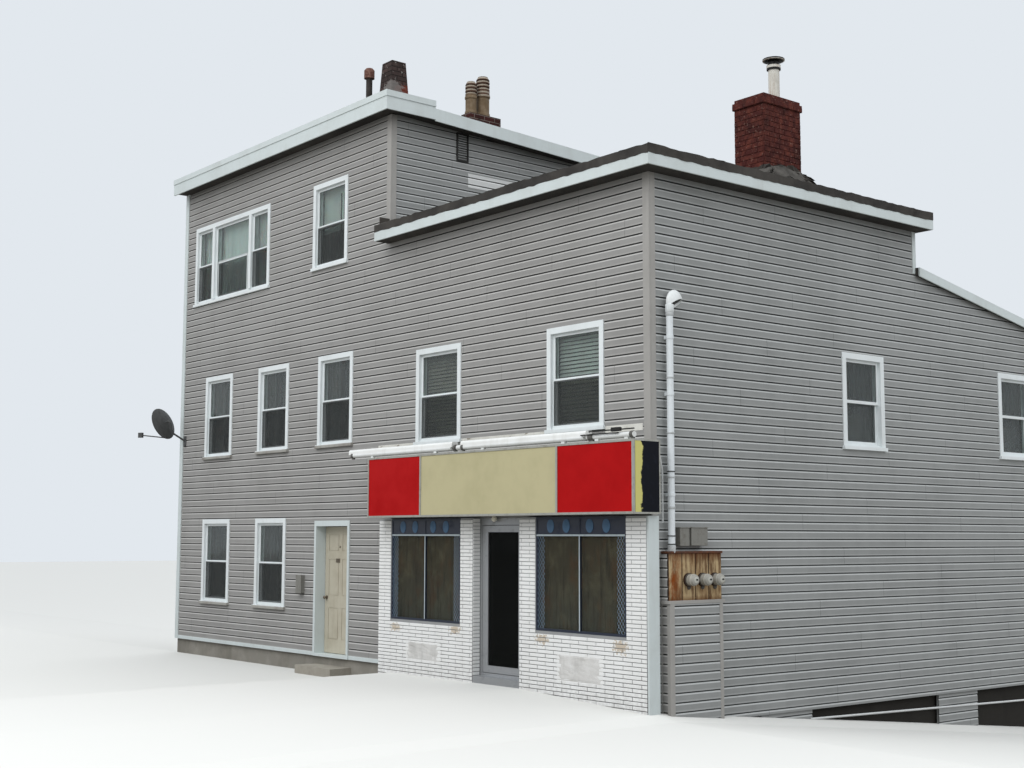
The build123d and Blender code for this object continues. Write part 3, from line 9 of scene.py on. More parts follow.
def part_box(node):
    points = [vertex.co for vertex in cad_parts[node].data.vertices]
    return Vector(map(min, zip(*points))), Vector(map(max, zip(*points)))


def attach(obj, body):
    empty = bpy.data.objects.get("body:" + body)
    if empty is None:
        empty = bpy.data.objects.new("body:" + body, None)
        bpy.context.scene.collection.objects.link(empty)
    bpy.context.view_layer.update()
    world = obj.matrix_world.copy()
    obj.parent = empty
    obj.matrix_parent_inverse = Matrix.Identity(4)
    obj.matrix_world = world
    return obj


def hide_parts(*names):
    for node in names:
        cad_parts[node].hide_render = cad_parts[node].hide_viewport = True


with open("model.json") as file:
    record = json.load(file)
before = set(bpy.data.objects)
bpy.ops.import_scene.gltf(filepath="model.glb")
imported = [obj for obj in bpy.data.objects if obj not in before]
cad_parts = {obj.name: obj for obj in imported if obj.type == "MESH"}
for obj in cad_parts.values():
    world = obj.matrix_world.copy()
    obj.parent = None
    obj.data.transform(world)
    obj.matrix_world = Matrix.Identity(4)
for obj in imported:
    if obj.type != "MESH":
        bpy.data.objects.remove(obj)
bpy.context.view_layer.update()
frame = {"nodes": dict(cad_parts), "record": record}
nodes = frame["nodes"]
print("stage: frame loaded")

# Places that the pieces below are set out from, in metres; frontFootZ is the foot of the front
wallLow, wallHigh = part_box("side_wall")
cornerX, frontY, rearY = wallHigh.x, wallLow.y, wallHigh.y
houseLow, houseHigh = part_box("house_front_wall_upper")
endX, divideX, houseTop = houseLow.x, houseHigh.x, houseHigh.z
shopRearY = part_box("shop_rear_upstand")[1].y
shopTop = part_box("shop_front_wall_upper")[1].z
frontFootZ = 0.95
apartmentX = -1.43  # middle of the apartment door
quarterTurn = math.pi / 2


def deselectAll():
    bpy.ops.object.select_all(action="DESELECT")


def makeActive(piece):
    deselectAll()
    piece.select_set(True)
    bpy.context.view_layer.objects.active = piece


def openForEdit(piece):
    makeActive(piece)
    bpy.ops.object.mode_set(mode="EDIT")
    bpy.ops.mesh.select_mode(type="FACE")
    bpy.ops.mesh.select_all(action="SELECT")


def closeEdit():
    bpy.ops.object.mode_set(mode="OBJECT")


def pickFaces(piece, test):
    # select the faces that pass a test on their place and normal; the piece is open for edit
    sheet = bmesh.from_edit_mesh(piece.data)
    for face in sheet.faces:
        face.select_set(bool(test(face.calc_center_median(), face.normal)))
    bmesh.update_edit_mesh(piece.data)


def pickAcross(piece, left, right, low, high):
    # select the faces that reach into an upright rectangle
    sheet = bmesh.from_edit_mesh(piece.data)
    for face in sheet.faces:
        xs, zs = [v.co.x for v in face.verts], [v.co.z for v in face.verts]
        face.select_set(min(xs) < right and max(xs) > left and min(zs) < high and max(zs) > low)
    bmesh.update_edit_mesh(piece.data)


def pickEdges(piece, test):
    bpy.ops.mesh.select_mode(type="EDGE")
    bpy.ops.mesh.select_all(action="DESELECT")
    sheet = bmesh.from_edit_mesh(piece.data)
    for edge in sheet.edges:
        edge.select_set(bool(test(edge.verts[0].co, edge.verts[1].co)))
    bmesh.update_edit_mesh(piece.data)


def applyModifier(piece, kind, settings):
    makeActive(piece)
    modifier = piece.modifiers.new(kind.lower(), kind)
    for key, value in settings.items():
        setattr(modifier, key, value)
    bpy.ops.object.modifier_apply(modifier=modifier.name)


def repeatAlong(piece, count, shift, settings=None):
    # copies of the piece in a row, each this far from the one before
    row = {
        "count": count, "use_relative_offset": False, "use_constant_offset": True,
        "constant_offset_displace": shift}
    applyModifier(piece, "ARRAY", {**row, **(settings or {})})


def smoothBelow(piece, degrees=40):
    # smooth shading over every edge that is blunter than this
    makeActive(piece)
    bpy.ops.object.shade_smooth_by_angle(angle=math.radians(degrees))


def cutUp(piece, cuts):
    openForEdit(piece)
    bpy.ops.mesh.subdivide(number_cuts=cuts)
    closeEdit()


def settle(piece):
    # the piece's place goes into its mesh
    makeActive(piece)
    bpy.ops.object.transform_apply(location=True, rotation=True, scale=True)


def addBlock(name, low, high, bevel=0.0, segments=1):
    # a board or block between two corners, with its edges eased
    deselectAll()
    middle = [(a + b) / 2 for a, b in zip(low, high)]
    bpy.ops.mesh.primitive_cube_add(size=1, location=middle, scale=[b - a for a, b in zip(low, high)])
    piece = bpy.context.object
    piece.name = name
    settle(piece)
    if bevel:
        openForEdit(piece)
        bpy.ops.mesh.bevel(offset=bevel, segments=segments, affect="EDGES")
        closeEdit()
    return piece


def addRound(name, middle, radius, length, axis="Z", bevel=0.003, sides=24):
    # a turned disc or rod with eased rims
    deselectAll()
    turn = {"X": (0, quarterTurn, 0), "Y": (quarterTurn, 0, 0), "Z": (0, 0, 0)}[axis]
    bpy.ops.mesh.primitive_cylinder_add(
        vertices=sides, radius=radius, depth=length, location=middle, rotation=turn)
    piece = bpy.context.object
    piece.name = name
    settle(piece)
    openForEdit(piece)
    pickFaces(piece, lambda c, n: abs(n["XYZ".index(axis)]) > 0.9)
    bpy.ops.mesh.bevel(offset=bevel, segments=2, affect="EDGES")
    closeEdit()
    smoothBelow(piece)
    return piece


def addRing(name, left, right, low, high, y, face, depth):
    # a flat rectangular frame facing -Y: a plane, inset, its middle out, then its thickness
    deselectAll()
    bpy.ops.mesh.primitive_plane_add(
        size=1, location=((left + right) / 2, y, (low + high) / 2), rotation=(quarterTurn, 0, 0))
    ring = bpy.context.object
    ring.name = name
    ring.scale = (right - left, high - low, 1)
    settle(ring)
    openForEdit(ring)
    bpy.ops.mesh.inset(thickness=face)
    bpy.ops.mesh.delete(type="FACE")
    bpy.ops.mesh.select_all(action="SELECT")
    bpy.ops.mesh.extrude_region_move(TRANSFORM_OT_translate={"value": (0, depth, 0)})
    bpy.ops.mesh.select_all(action="SELECT")
    bpy.ops.mesh.normals_make_consistent(inside=False)
    closeEdit()
    return ring


def copyOf(piece, name, shift=(0, 0, 0)):
    twin = piece.copy()
    twin.data = piece.data.copy()
    twin.name = name
    bpy.context.scene.collection.objects.link(twin)
    for point in twin.data.vertices:
        point.co += Vector(shift)
    return twin


def joinAll(pieces, name):
    deselectAll()
    for piece in pieces:
        piece.select_set(True)
    bpy.context.view_layer.objects.active = pieces[0]
    if len(pieces) > 1:
        bpy.ops.object.join()
    joined = bpy.context.view_layer.objects.active
    joined.name = name
    return joined


def placeOn(piece, origin, turn):
    # stands a piece drawn facing -Y at the world origin on a wall that faces another way
    makeActive(piece)
    piece.rotation_euler = (0, 0, turn)
    piece.location = origin
    settle(piece)
    return piece


def dress(piece, slot, material=None):
    # the piece takes the slot's own look unless another is given
    piece.data.materials.clear()
    piece.data.materials.append(material or look[slot])
    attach(piece, "building")
    return piece


def hexColour(text):
    # sRGB hex to the linear values that the shader takes
    parts = [int(text[i:i + 2], 16) / 255 for i in (1, 3, 5)]
    return [v / 12.92 if v <= 0.04045 else ((v + 0.055) / 1.055) ** 2.4 for v in parts] + [1.0]


def addNode(tree, kind, settings=None, links=None):
    # one node with its settings; a key is an attribute of the node, or else an input
    node = tree.nodes.new("ShaderNode" + kind)
    for key, value in (settings or {}).items():
        if isinstance(key, str) and hasattr(node, key):
            setattr(node, key, value)
        else:
            node.inputs[key].default_value = value
    for key, source in (links or {}).items():
        tree.links.new(source, node.inputs[key])
    return node


def newFinish(name, settings):
    material = bpy.data.materials.new(name)
    material.use_nodes = True
    tree = material.node_tree
    shader = tree.nodes["Principled BSDF"]
    for key, value in settings.items():
        shader.inputs[key].default_value = value
    place = addNode(tree, "TexCoord").outputs["Object"]
    return material, tree, shader, place


def patches(tree, place, sizeMm, low, high, detail=4.0, roughness=0.6, stretch=(1, 1, 1), shift=(0, 0, 0)):
    # 0 to 1 in soft-edged patches about sizeMm across; a stretch under 1 draws them out along that axis
    spread = addNode(tree, "Mapping", {"Scale": stretch, "Location": shift}, {"Vector": place}).outputs[0]
    noise = addNode(
        tree, "TexNoise", {"Scale": 1000.0 / sizeMm, "Detail": detail, "Roughness": roughness},
        {"Vector": spread})
    return addNode(
        tree, "MapRange", {"From Min": low, "From Max": high}, {"Value": noise.outputs["Fac"]}).outputs[0]


def between(tree, value, low, high, soft):
    # 1 inside a band of a coordinate, with edges this soft
    rise = addNode(
        tree, "MapRange", {"From Min": low - soft, "From Max": low + soft}, {"Value": value}).outputs[0]
    fall = addNode(
        tree, "MapRange", {"From Min": high + soft, "From Max": high - soft}, {"Value": value}).outputs[0]
    return addNode(tree, "Math", {"operation": "MULTIPLY"}, {0: rise, 1: fall}).outputs[0]


def layered(tree, base, layers):
    # paints each (mask, colour, strength) over the base colour
    colour = base
    for mask, over, strength in layers:
        amount = addNode(tree, "Math", {"operation": "MULTIPLY", 1: strength}, {0: mask}).outputs[0]
        mix = addNode(tree, "Mix", {"data_type": "RGBA"}, {0: amount})
        for index, tone in ((6, colour), (7, over)):
            if isinstance(tone, str):
                mix.inputs[index].default_value = hexColour(tone)
            else:
                tree.links.new(tone, mix.inputs[index])
        colour = mix.outputs[2]
    return colour


def surfaceRelief(tree, shader, heights, strength=0.6, distance=0.002):
    # adds the given heights together and bumps the surface by them
    total = heights[0]
    for height in heights[1:]:
        total = addNode(tree, "Math", {"operation": "ADD"}, {0: total, 1: height}).outputs[0]
    bump = addNode(tree, "Bump", {"Strength": strength, "Distance": distance}, {"Height": total})
    tree.links.new(bump.outputs[0], shader.inputs["Normal"])


def roughBetween(tree, shader, mask, low, high):
    amount = addNode(tree, "MapRange", {"To Min": low, "To Max": high}, {"Value": mask})
    tree.links.new(amount.outputs[0], shader.inputs["Roughness"])


# Extruded vinyl siding, faded: satin, with a painted highlight on the upper slope and foot of each course and
# a painted shadow under each lap.
# Each panel is a shade apart from the next in its run.
sidingLook = {
    "course": 0.1143, "slopeFrom": 0.7, "lapFrom": 0.85, "panelLength": 3.66, "grainMm": 9.0,
    "dirtMm": 900.0, "streakMm": 260.0}


def makeSiding(name, base, light, dark, slope, lap, alongAxis, dirt):
    material, tree, shader, place = newFinish(name, {"Roughness": 0.6, "Specular IOR Level": 0.25})
    axes = addNode(tree, "SeparateXYZ", None, {0: place})
    along, height = axes.outputs[alongAxis], axes.outputs[2]
    courses = addNode(tree, "Math", {"operation": "DIVIDE", 1: sidingLook["course"]}, {0: height}).outputs[0]
    share = addNode(tree, "Math", {"operation": "FRACT"}, {0: courses}).outputs[0]
    # painted highlight on each course's upward slope and at its foot; painted shadow under each lap
    slopeHighlight = between(tree, share, sidingLook["slopeFrom"], 1.1, 0.02)
    lapShadow = between(tree, share, sidingLook["lapFrom"], 1.1, 0.012)
    footHighlight = between(tree, share, -0.1, 0.16, 0.05)
    panelRow = addNode(tree, "Math", {"operation": "MULTIPLY", 1: 0.5}, {0: courses}).outputs[0]
    panelRow = addNode(tree, "Math", {"operation": "FLOOR"}, {0: panelRow}).outputs[0]
    run = addNode(tree, "Math", {"operation": "DIVIDE", 1: sidingLook["panelLength"]}, {0: along}).outputs[0]
    shifted = addNode(
        tree, "Math", {"operation": "MULTIPLY_ADD", 1: 0.61803}, {0: panelRow, 2: run}).outputs[0]
    panelTurn = addNode(tree, "Math", {"operation": "FLOOR"}, {0: shifted}).outputs[0]
    panelShare = addNode(tree, "Math", {"operation": "FRACT"}, {0: shifted}).outputs[0]
    panelId = addNode(tree, "CombineXYZ", None, {0: panelRow, 1: panelTurn}).outputs[0]
    panelTone = addNode(
        tree, "TexWhiteNoise", {"noise_dimensions": "3D"}, {"Vector": panelId}).outputs["Value"]
    seam = addNode(tree, "Math", {"operation": "LESS_THAN", 1: 0.0012}, {0: panelShare}).outputs[0]
    grime = patches(tree, place, sidingLook["dirtMm"], 0.42, 0.75)
    streaks = patches(tree, place, sidingLook["streakMm"], 0.5, 0.85, stretch=(1, 1, 0.06))
    chalk = patches(tree, place, 2400.0, 0.35, 0.7, 2.0)
    colour = layered(
        tree, base,
        [
            (panelTone, light, 0.3), (chalk, light, 0.3),
            (grime, dark, dirt), (streaks, dark, dirt * 0.8),
            (slopeHighlight, slope, 0.9), (footHighlight, slope, 0.3),
            # the lap tone paints the dark seams between panels and the painted shadow under each lap
            (seam, lap, 0.7), (lapShadow, lap, 0.94)])
    tree.links.new(colour, shader.inputs["Base Color"])
    grain = addNode(tree, "Mapping", {"Scale": (0.05, 0.05, 1)}, {"Vector": place}).outputs[0]
    grain = addNode(
        tree, "TexNoise", {"Scale": 1000.0 / sidingLook["grainMm"], "Detail": 3.0},
        {"Vector": grain}).outputs["Fac"]
    wave = addNode(tree, "TexNoise", {"Scale": 2.2, "Detail": 1.0}, {"Vector": place}).outputs["Fac"]
    surfaceRelief(tree, shader, [grain, wave], 0.35, 0.0015)
    roughBetween(tree, shader, grime, 0.55, 0.75)
    return material


# Brush-painted timber and moulded vinyl trim: semi-gloss gone dull, dirt in the laps, a fine brushed grain
def makePaint(name, base, dirtTone, dirt=0.35, roughness=0.5, grainMm=3.0, peel=None):
    material, tree, shader, place = newFinish(name, {"Roughness": roughness, "Specular IOR Level": 0.35})
    grime = patches(tree, place, 420.0, 0.45, 0.8)
    drips = patches(tree, place, 90.0, 0.52, 0.85, stretch=(1, 1, 0.12))
    layers = [(grime, dirtTone, dirt), (drips, dirtTone, dirt * 0.7)]
    grain = addNode(tree, "Mapping", {"Scale": (0.08, 0.08, 1)}, {"Vector": place}).outputs[0]
    grain = addNode(
        tree, "TexNoise", {"Scale": 1000.0 / grainMm, "Detail": 4.0}, {"Vector": grain}).outputs["Fac"]
    heights = [grain]
    if peel:
        bare = patches(
            tree, place, peel["sizeMm"], peel["from"], peel["from"] + 0.03, 8.0, 0.7, (0.5, 0.5, 1))
        layers.append((bare, peel["tone"], 0.95))
        heights.append(addNode(tree, "Math", {"operation": "MULTIPLY", 1: -1.5}, {0: bare}).outputs[0])
    tree.links.new(layered(tree, base, layers), shader.inputs["Base Color"])
    surfaceRelief(tree, shader, heights, 0.4, 0.0012)
    roughBetween(tree, shader, grime, roughness, min(0.9, roughness + 0.25))
    return material


# Masonry, concrete and render: matt, pitted, stained in patches; extra layers come last
def makeMasonry(
    name, base, light, dark, patchMm=240.0, pitMm=6.0, stain=0.6, relief=0.003, roughness=0.9,
    extra=None):
    material, tree, shader, place = newFinish(name, {"Roughness": roughness, "Specular IOR Level": 0.2})
    pale = patches(tree, place, patchMm, 0.45, 0.7)
    stains = patches(tree, place, patchMm * 1.7, 0.48, 0.78, stretch=(1, 1, 0.4), shift=(3, 1, 7))
    pits = addNode(
        tree, "TexNoise", {"Scale": 1000.0 / pitMm, "Detail": 5.0, "Roughness": 0.65},
        {"Vector": place}).outputs["Fac"]
    lumps = addNode(
        tree, "TexNoise", {"Scale": 1000.0 / (pitMm * 9), "Detail": 3.0},
        {"Vector": place}).outputs["Fac"]
    speckle = addNode(tree, "MapRange", {"From Min": 0.35, "From Max": 0.65}, {"Value": pits}).outputs[0]
    layers = [
        (pale, light, stain), (stains, dark, stain),
        (speckle, dark, 0.18)]
    layers += extra(tree, place) if extra else []
    tree.links.new(layered(tree, base, layers), shader.inputs["Base Color"])
    surfaceRelief(tree, shader, [pits, lumps], 0.8, relief)
    return material


# Sheet metal, painted or galvanised: worn to rust or dull zinc in patches and along drips
def makeMetal(
    name, base, wornTone, deepTone, worn=0.5, start=0.5, roughness=0.45, metallic=0.0, sizeMm=120.0):
    material, tree, shader, place = newFinish(name, {"Metallic": metallic})
    blotch = patches(tree, place, sizeMm, start, start + 0.18, 6.0, 0.65)
    drips = patches(tree, place, sizeMm * 0.5, start + 0.03, start + 0.25, 5.0, stretch=(1, 1, 0.1))
    deep = patches(tree, place, sizeMm * 0.4, start + 0.05, start + 0.2, 6.0, 0.7)
    tree.links.new(
        layered(
            tree, base,
            [
                (blotch, wornTone, worn), (drips, wornTone, worn * 0.6),
                (deep, deepTone, worn * 0.7)]),
        shader.inputs["Base Color"])
    fine = addNode(tree, "TexNoise", {"Scale": 260.0, "Detail": 4.0}, {"Vector": place}).outputs["Fac"]
    surfaceRelief(tree, shader, [fine, blotch], 0.45, 0.0012)
    roughBetween(tree, shader, blotch, roughness, min(0.92, roughness + 0.35))
    return material


# Mineral-surfaced roofing: black-brown, gritty, with paler worn lanes
def makeRoofing(name, base, light, dark, gritMm=5.0):
    material, tree, shader, place = newFinish(name, {"Roughness": 0.92, "Specular IOR Level": 0.15})
    worn = patches(tree, place, 700.0, 0.42, 0.75)
    wet = patches(tree, place, 170.0, 0.5, 0.8)
    grit = addNode(
        tree, "TexNoise", {"Scale": 1000.0 / gritMm, "Detail": 3.0, "Roughness": 0.8},
        {"Vector": place}).outputs["Fac"]
    lumps = addNode(tree, "TexNoise", {"Scale": 22.0, "Detail": 4.0}, {"Vector": place}).outputs["Fac"]
    tree.links.new(
        layered(
            tree, base,
            [(worn, light, 0.6), (wet, dark, 0.6), (grit, light, 0.25)]),
        shader.inputs["Base Color"])
    surfaceRelief(tree, shader, [grit, lumps], 0.9, 0.004)
    return material


# Old float glass: clear, slightly green, with dust and a faint wave; a low IOR keeps the pale sky off it
def makeGlass(name, tone, ior, dust=0.12):
    material, tree, shader, place = newFinish(
        name, {"Base Color": hexColour(tone), "Roughness": 0.03, "IOR": ior, "Transmission Weight": 0.95})
    wave = addNode(tree, "TexNoise", {"Scale": 3.5, "Detail": 1.0}, {"Vector": place}).outputs["Fac"]
    surfaceRelief(tree, shader, [wave], 0.12, 0.004)
    film = patches(tree, place, 180.0, 0.4, 0.9)
    roughBetween(tree, shader, film, 0.02, 0.02 + dust)
    return material


# Glass under a film of dust: a thin grey veil over the boards behind it, with dull patches
def makeVeilGlass(name, tone, alpha):
    settings = {"Base Color": hexColour(tone), "Roughness": 0.12, "Specular IOR Level": 0.15, "Alpha": alpha}
    material, tree, shader, place = newFinish(name, settings)
    film = patches(tree, place, 160.0, 0.4, 0.8)
    roughBetween(tree, shader, film, 0.08, 0.35)
    return material


# Woven household cloth hung inside the windows: thin, matt, a fine weave drawn 6 mm wide so that it shows
def makeCloth(name, tone, shade, through=0.25):
    material, tree, shader, place = newFinish(
        name,
        {"Roughness": 0.9, "Specular IOR Level": 0.1, "Sheen Weight": 0.2, "Transmission Weight": 0.0})
    fade = patches(tree, place, 300.0, 0.4, 0.75, stretch=(1, 1, 0.2))
    tree.links.new(
        layered(tree, tone, [(fade, shade, 0.5)]), shader.inputs["Base Color"])
    weave = addNode(
        tree, "TexWave", {"bands_direction": "Z", "Scale": 1000.0 / 6.0 / 6.2832, "Distortion": 1.0},
        {"Vector": place}).outputs["Fac"]
    surfaceRelief(tree, shader, [weave], 0.3, 0.001)
    shader.inputs["Subsurface Weight"].default_value = through
    return material


def spotAt(tree, place, centre, reach, grainMm=45.0, ragged=1.6):
    # 1 inside a ragged-edged ellipsoid about a point
    scale = [1 / r for r in reach]
    centred = addNode(
        tree, "Mapping", {"Scale": scale, "Location": [-c * k for c, k in zip(centre, scale)]},
        {"Vector": place}).outputs[0]
    length = addNode(tree, "VectorMath", {"operation": "LENGTH"}, {0: centred}).outputs["Value"]
    grain = addNode(
        tree, "TexNoise", {"Scale": 1000.0 / grainMm, "Detail": 5.0, "Roughness": 0.7},
        {"Vector": place}).outputs["Fac"]
    edge = addNode(tree, "Math", {"operation": "MULTIPLY_ADD", 1: ragged}, {0: grain, 2: length}).outputs[0]
    return addNode(
        tree, "MapRange", {"From Min": 0.95 + ragged / 2, "From Max": 0.8 + ragged / 2},
        {"Value": edge}).outputs[0]


# The shop's bricks: flaked to tan under the corners of the display windows, greyer towards the foot
flakedSpots = [
    (0.57, 1.78, 0.13, 0.055), (2.03, 1.82, 0.12, 0.07), (3.9, 1.79, 0.13, 0.07),
    (5.36, 1.78, 0.13, 0.085)]


def brickWear(tree, place):
    axes = addNode(tree, "SeparateXYZ", None, {0: place})
    splash = addNode(
        tree, "MapRange", {"From Min": 1.45, "From Max": 1.0}, {"Value": axes.outputs[2]}).outputs[0]
    broken = patches(tree, place, 60.0, 0.42, 0.56, 6.0, 0.7)
    low = addNode(tree, "Math", {"operation": "MULTIPLY"}, {0: splash, 1: broken}).outputs[0]
    layers = [(low, "#A19F9A", 0.35)]
    for x, z, wide, high in flakedSpots:
        bare = spotAt(tree, place, (x, frontY - 0.15, z), (wide, 1.0, high), 34.0, 4.5)
        layers.append((bare, "#B39C78", 0.65))
    return layers


def jointShade(tree, place):
    # what shows between the bricks: painted over high up, dark and gritty near the foot
    height = addNode(tree, "SeparateXYZ", None, {0: place}).outputs[2]
    low = addNode(tree, "MapRange", {"From Min": 2.2, "From Max": 1.1}, {"Value": height}).outputs[0]
    return [(low, "#4A4845", 0.8)]


def shadeAtSide(tree, place):
    # the footing stands in shade on its long side, so that face is painted near black: painted shade
    across = addNode(tree, "SeparateXYZ", None, {0: place}).outputs[0]
    side = addNode(tree, "MapRange", {"From Min": 5.5, "From Max": 5.62}, {"Value": across}).outputs[0]
    return [(side, "#1C1A18", 0.93)]


def outerFaces(tree, place):
    # a wall's inner faces are painted dark, as painted shade of the unlit rooms; its outer faces and ends
    # take the grey of the cladding or party wall
    axes = addNode(tree, "SeparateXYZ", None, {0: place}).outputs
    layers = []
    faces = (
        (0, cornerX, 1, "#919392"), (1, frontY, -1, "#939290"), (1, rearY, 1, "#919392"),
        (0, endX, -1, "#8F8D88"))
    for axis, face, away, tone in faces:
        mask = addNode(
            tree, "MapRange", {"From Min": face - away * 0.006, "From Max": face - away * 0.003},
            {"Value": axes[axis]}).outputs[0]
        layers.append((mask, tone, 1.0))
    return layers


def limeBloom(tree, place):
    return [(patches(tree, place, 38.0, 0.6, 0.64, 6.0, 0.7), "#8D7469", 0.6)]


# turned rings on the pots' upper part, one each 62 mm; they start and are full at these heights
potRings = {"pitchMm": 62.0, "from": 10.45, "full": 10.5}


def potBands(tree, place):
    height = addNode(tree, "SeparateXYZ", None, {0: place}).outputs[2]
    ring = addNode(
        tree, "Math", {"operation": "MULTIPLY", 1: 1000.0 / potRings["pitchMm"]}, {0: height}).outputs[0]
    ring = addNode(tree, "Math", {"operation": "FRACT"}, {0: ring}).outputs[0]
    band = between(tree, ring, 0.55, 0.95, 0.06)
    top = addNode(
        tree, "MapRange", {"From Min": potRings["from"], "From Max": potRings["full"]},
        {"Value": height}).outputs[0]
    both = addNode(tree, "Math", {"operation": "MULTIPLY"}, {0: band, 1: top}).outputs[0]
    pale = between(tree, ring, 0.05, 0.45, 0.05)
    lit = addNode(tree, "Math", {"operation": "MULTIPLY"}, {0: pale, 1: top}).outputs[0]
    return [(lit, "#ABA498", 0.7), (both, "#40231C", 0.85)]


def stackScars(tree, place):
    # cement smeared over the near corner, bare red brick low on the side, a pale foot
    low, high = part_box("front_chimney")
    cement = spotAt(
        tree, place, (high.x - 0.05, low.y + 0.03, low.z + (high.z - low.z) * 0.52), (0.2, 0.24, 0.13))
    red = spotAt(tree, place, (high.x, low.y + 0.38, low.z + (high.z - low.z) * 0.42), (0.24, 0.36, 0.2))
    return [(red, "#6B3124", 0.85), (cement, "#7C7875", 0.75)]


def ventRust(tree, place):
    # the cap, from this height up, is rusted in patches
    capFoot = 10.6
    height = addNode(tree, "SeparateXYZ", None, {0: place}).outputs[2]
    cap = addNode(
        tree, "MapRange", {"From Min": capFoot, "From Max": capFoot + 0.03}, {"Value": height}).outputs[0]
    pale = patches(tree, place, 40.0, 0.45, 0.6, 5.0)
    light = addNode(tree, "Math", {"operation": "MULTIPLY"}, {0: cap, 1: pale}).outputs[0]
    return [(cap, "#5C3A30", 0.9), (light, "#8A6A5E", 0.6)]


# heights of the cap's plate, of the slot under it and of the collar
flueSoot = ((9.952, 9.99), (9.874, 9.944), (9.808, 9.836))


def flueBands(tree, place):
    # soot on the plate, in the slot and round the collar; rust tears down the pipe
    height = addNode(tree, "SeparateXYZ", None, {0: place}).outputs[2]
    layers = [(patches(tree, place, 34.0, 0.5, 0.62, 4.0, 0.6, (1, 1, 0.05)), "#8C6A45", 0.6)]
    for low, high in flueSoot:
        layers.append((between(tree, height, low, high, 0.002), "#141312", 1.0))
    return layers


def boardStains(tree, place):
    # rain runs down the boards, greyer low down, with a rust bloom across the middle
    height = addNode(tree, "SeparateXYZ", None, {0: place}).outputs[2]
    low = addNode(tree, "MapRange", {"From Min": 2.7, "From Max": 2.0}, {"Value": height}).outputs[0]
    runs = patches(tree, place, 60.0, 0.5, 0.66, 6.0, 0.7, (1, 1, 0.08))
    bloom = patches(tree, place, 210.0, 0.5, 0.68, 6.0, 0.7, (1, 1, 0.5), (5, 2, 1))
    return [
        (low, "#5C6056", 0.5), (bloom, "#6B4520", 0.6),
        (runs, "#2C2415", 0.7)]


# Fired brickwork in courses, sooted: the joints sit back and each brick has its own tone
def makeBrickwork(name, base, other, joint, spots, extra=None, length=0.215, rise=0.075):
    material, tree, shader, place = newFinish(name, {"Roughness": 0.9, "Specular IOR Level": 0.15})
    axes = addNode(tree, "SeparateXYZ", None, {0: place})
    alongBoth = addNode(
        tree, "Math", {"operation": "ADD"}, {0: axes.outputs[0], 1: axes.outputs[1]}).outputs[0]
    flat = addNode(tree, "CombineXYZ", None, {0: alongBoth, 1: axes.outputs[2]}).outputs[0]
    courses = addNode(
        tree, "TexBrick",
        {
            "Color1": hexColour(base), "Color2": hexColour(other), "Mortar": hexColour(joint),
            "Scale": 1.0, "Mortar Size": 0.006, "Mortar Smooth": 0.2, "Brick Width": length,
            "Row Height": rise},
        {"Vector": flat})
    soot = patches(tree, place, 150.0, 0.42, 0.7)
    layers = [(soot, "#1B1817", 0.45)]
    for tone, start, sizeMm in spots:
        layers.append(
            (
                patches(tree, place, sizeMm, start, start + 0.03, 6.0, 0.7, (1, 1, 1), (sizeMm, 0, 0)),
                tone, 0.8))
    layers += extra(tree, place) if extra else []
    tree.links.new(layered(tree, courses.outputs["Color"], layers), shader.inputs["Base Color"])
    joints = addNode(tree, "Math", {"operation": "MULTIPLY", 1: -1.0}, {0: courses.outputs["Fac"]}).outputs[0]
    pits = addNode(tree, "TexNoise", {"Scale": 180.0, "Detail": 5.0}, {"Vector": place}).outputs["Fac"]
    surfaceRelief(tree, shader, [joints, pits], 0.8, 0.006)
    return material


# Printed acrylic sign faces, blank: two red ends and a yellowed cream middle, crazed and dusty
signTones = {
    "red": "#B00A0D", "redWorn": "#8E090C", "cream": "#BDB691", "creamWorn": "#A39D7B",
    "splits": (1.575, 4.52)}


def makeSignFace(name):
    material, tree, shader, place = newFinish(name, {"Roughness": 0.5, "Specular IOR Level": 0.08})
    across = addNode(tree, "SeparateXYZ", None, {0: place}).outputs[0]
    middle = between(tree, across, signTones["splits"][0], signTones["splits"][1], 0.001)
    dust = patches(tree, place, 420.0, 0.42, 0.75)
    red = layered(tree, signTones["red"], [(dust, signTones["redWorn"], 0.4)])
    cream = layered(tree, signTones["cream"], [(dust, signTones["creamWorn"], 0.4)])
    tree.links.new(layered(tree, red, [(middle, cream, 1.0)]), shader.inputs["Base Color"])
    ripple = addNode(tree, "TexNoise", {"Scale": 3.0, "Detail": 2.0}, {"Vector": place}).outputs["Fac"]
    surfaceRelief(tree, shader, [ripple], 0.2, 0.003)
    roughBetween(tree, shader, dust, 0.45, 0.7)
    return material


# Enamelled end of the sign: near-black navy, with a strip of old yellow showing along the front edge
def makeSignEnd(name):
    material, tree, shader, place = newFinish(name, {"Roughness": 0.55, "Specular IOR Level": 0.12})
    away = addNode(tree, "SeparateXYZ", None, {0: place}).outputs[1]
    torn = addNode(
        tree, "TexNoise", {"Scale": 7.0, "Detail": 6.0, "Roughness": 0.7},
        {"Vector": place}).outputs["Fac"]
    edge = addNode(tree, "Math", {"operation": "MULTIPLY_ADD", 1: 0.16}, {0: torn, 2: away}).outputs[0]
    strip = addNode(tree, "MapRange", {"From Min": -5.425, "From Max": -5.435}, {"Value": edge}).outputs[0]
    scuffs = patches(tree, place, 90.0, 0.55, 0.7, 6.0)
    tree.links.new(
        layered(
            tree, "#0B0E17",
            [(scuffs, "#1C202B", 0.5), (strip, "#D2CC7C", 0.95)]),
        shader.inputs["Base Color"])
    surfaceRelief(tree, shader, [torn, strip], 0.3, 0.001)
    return material


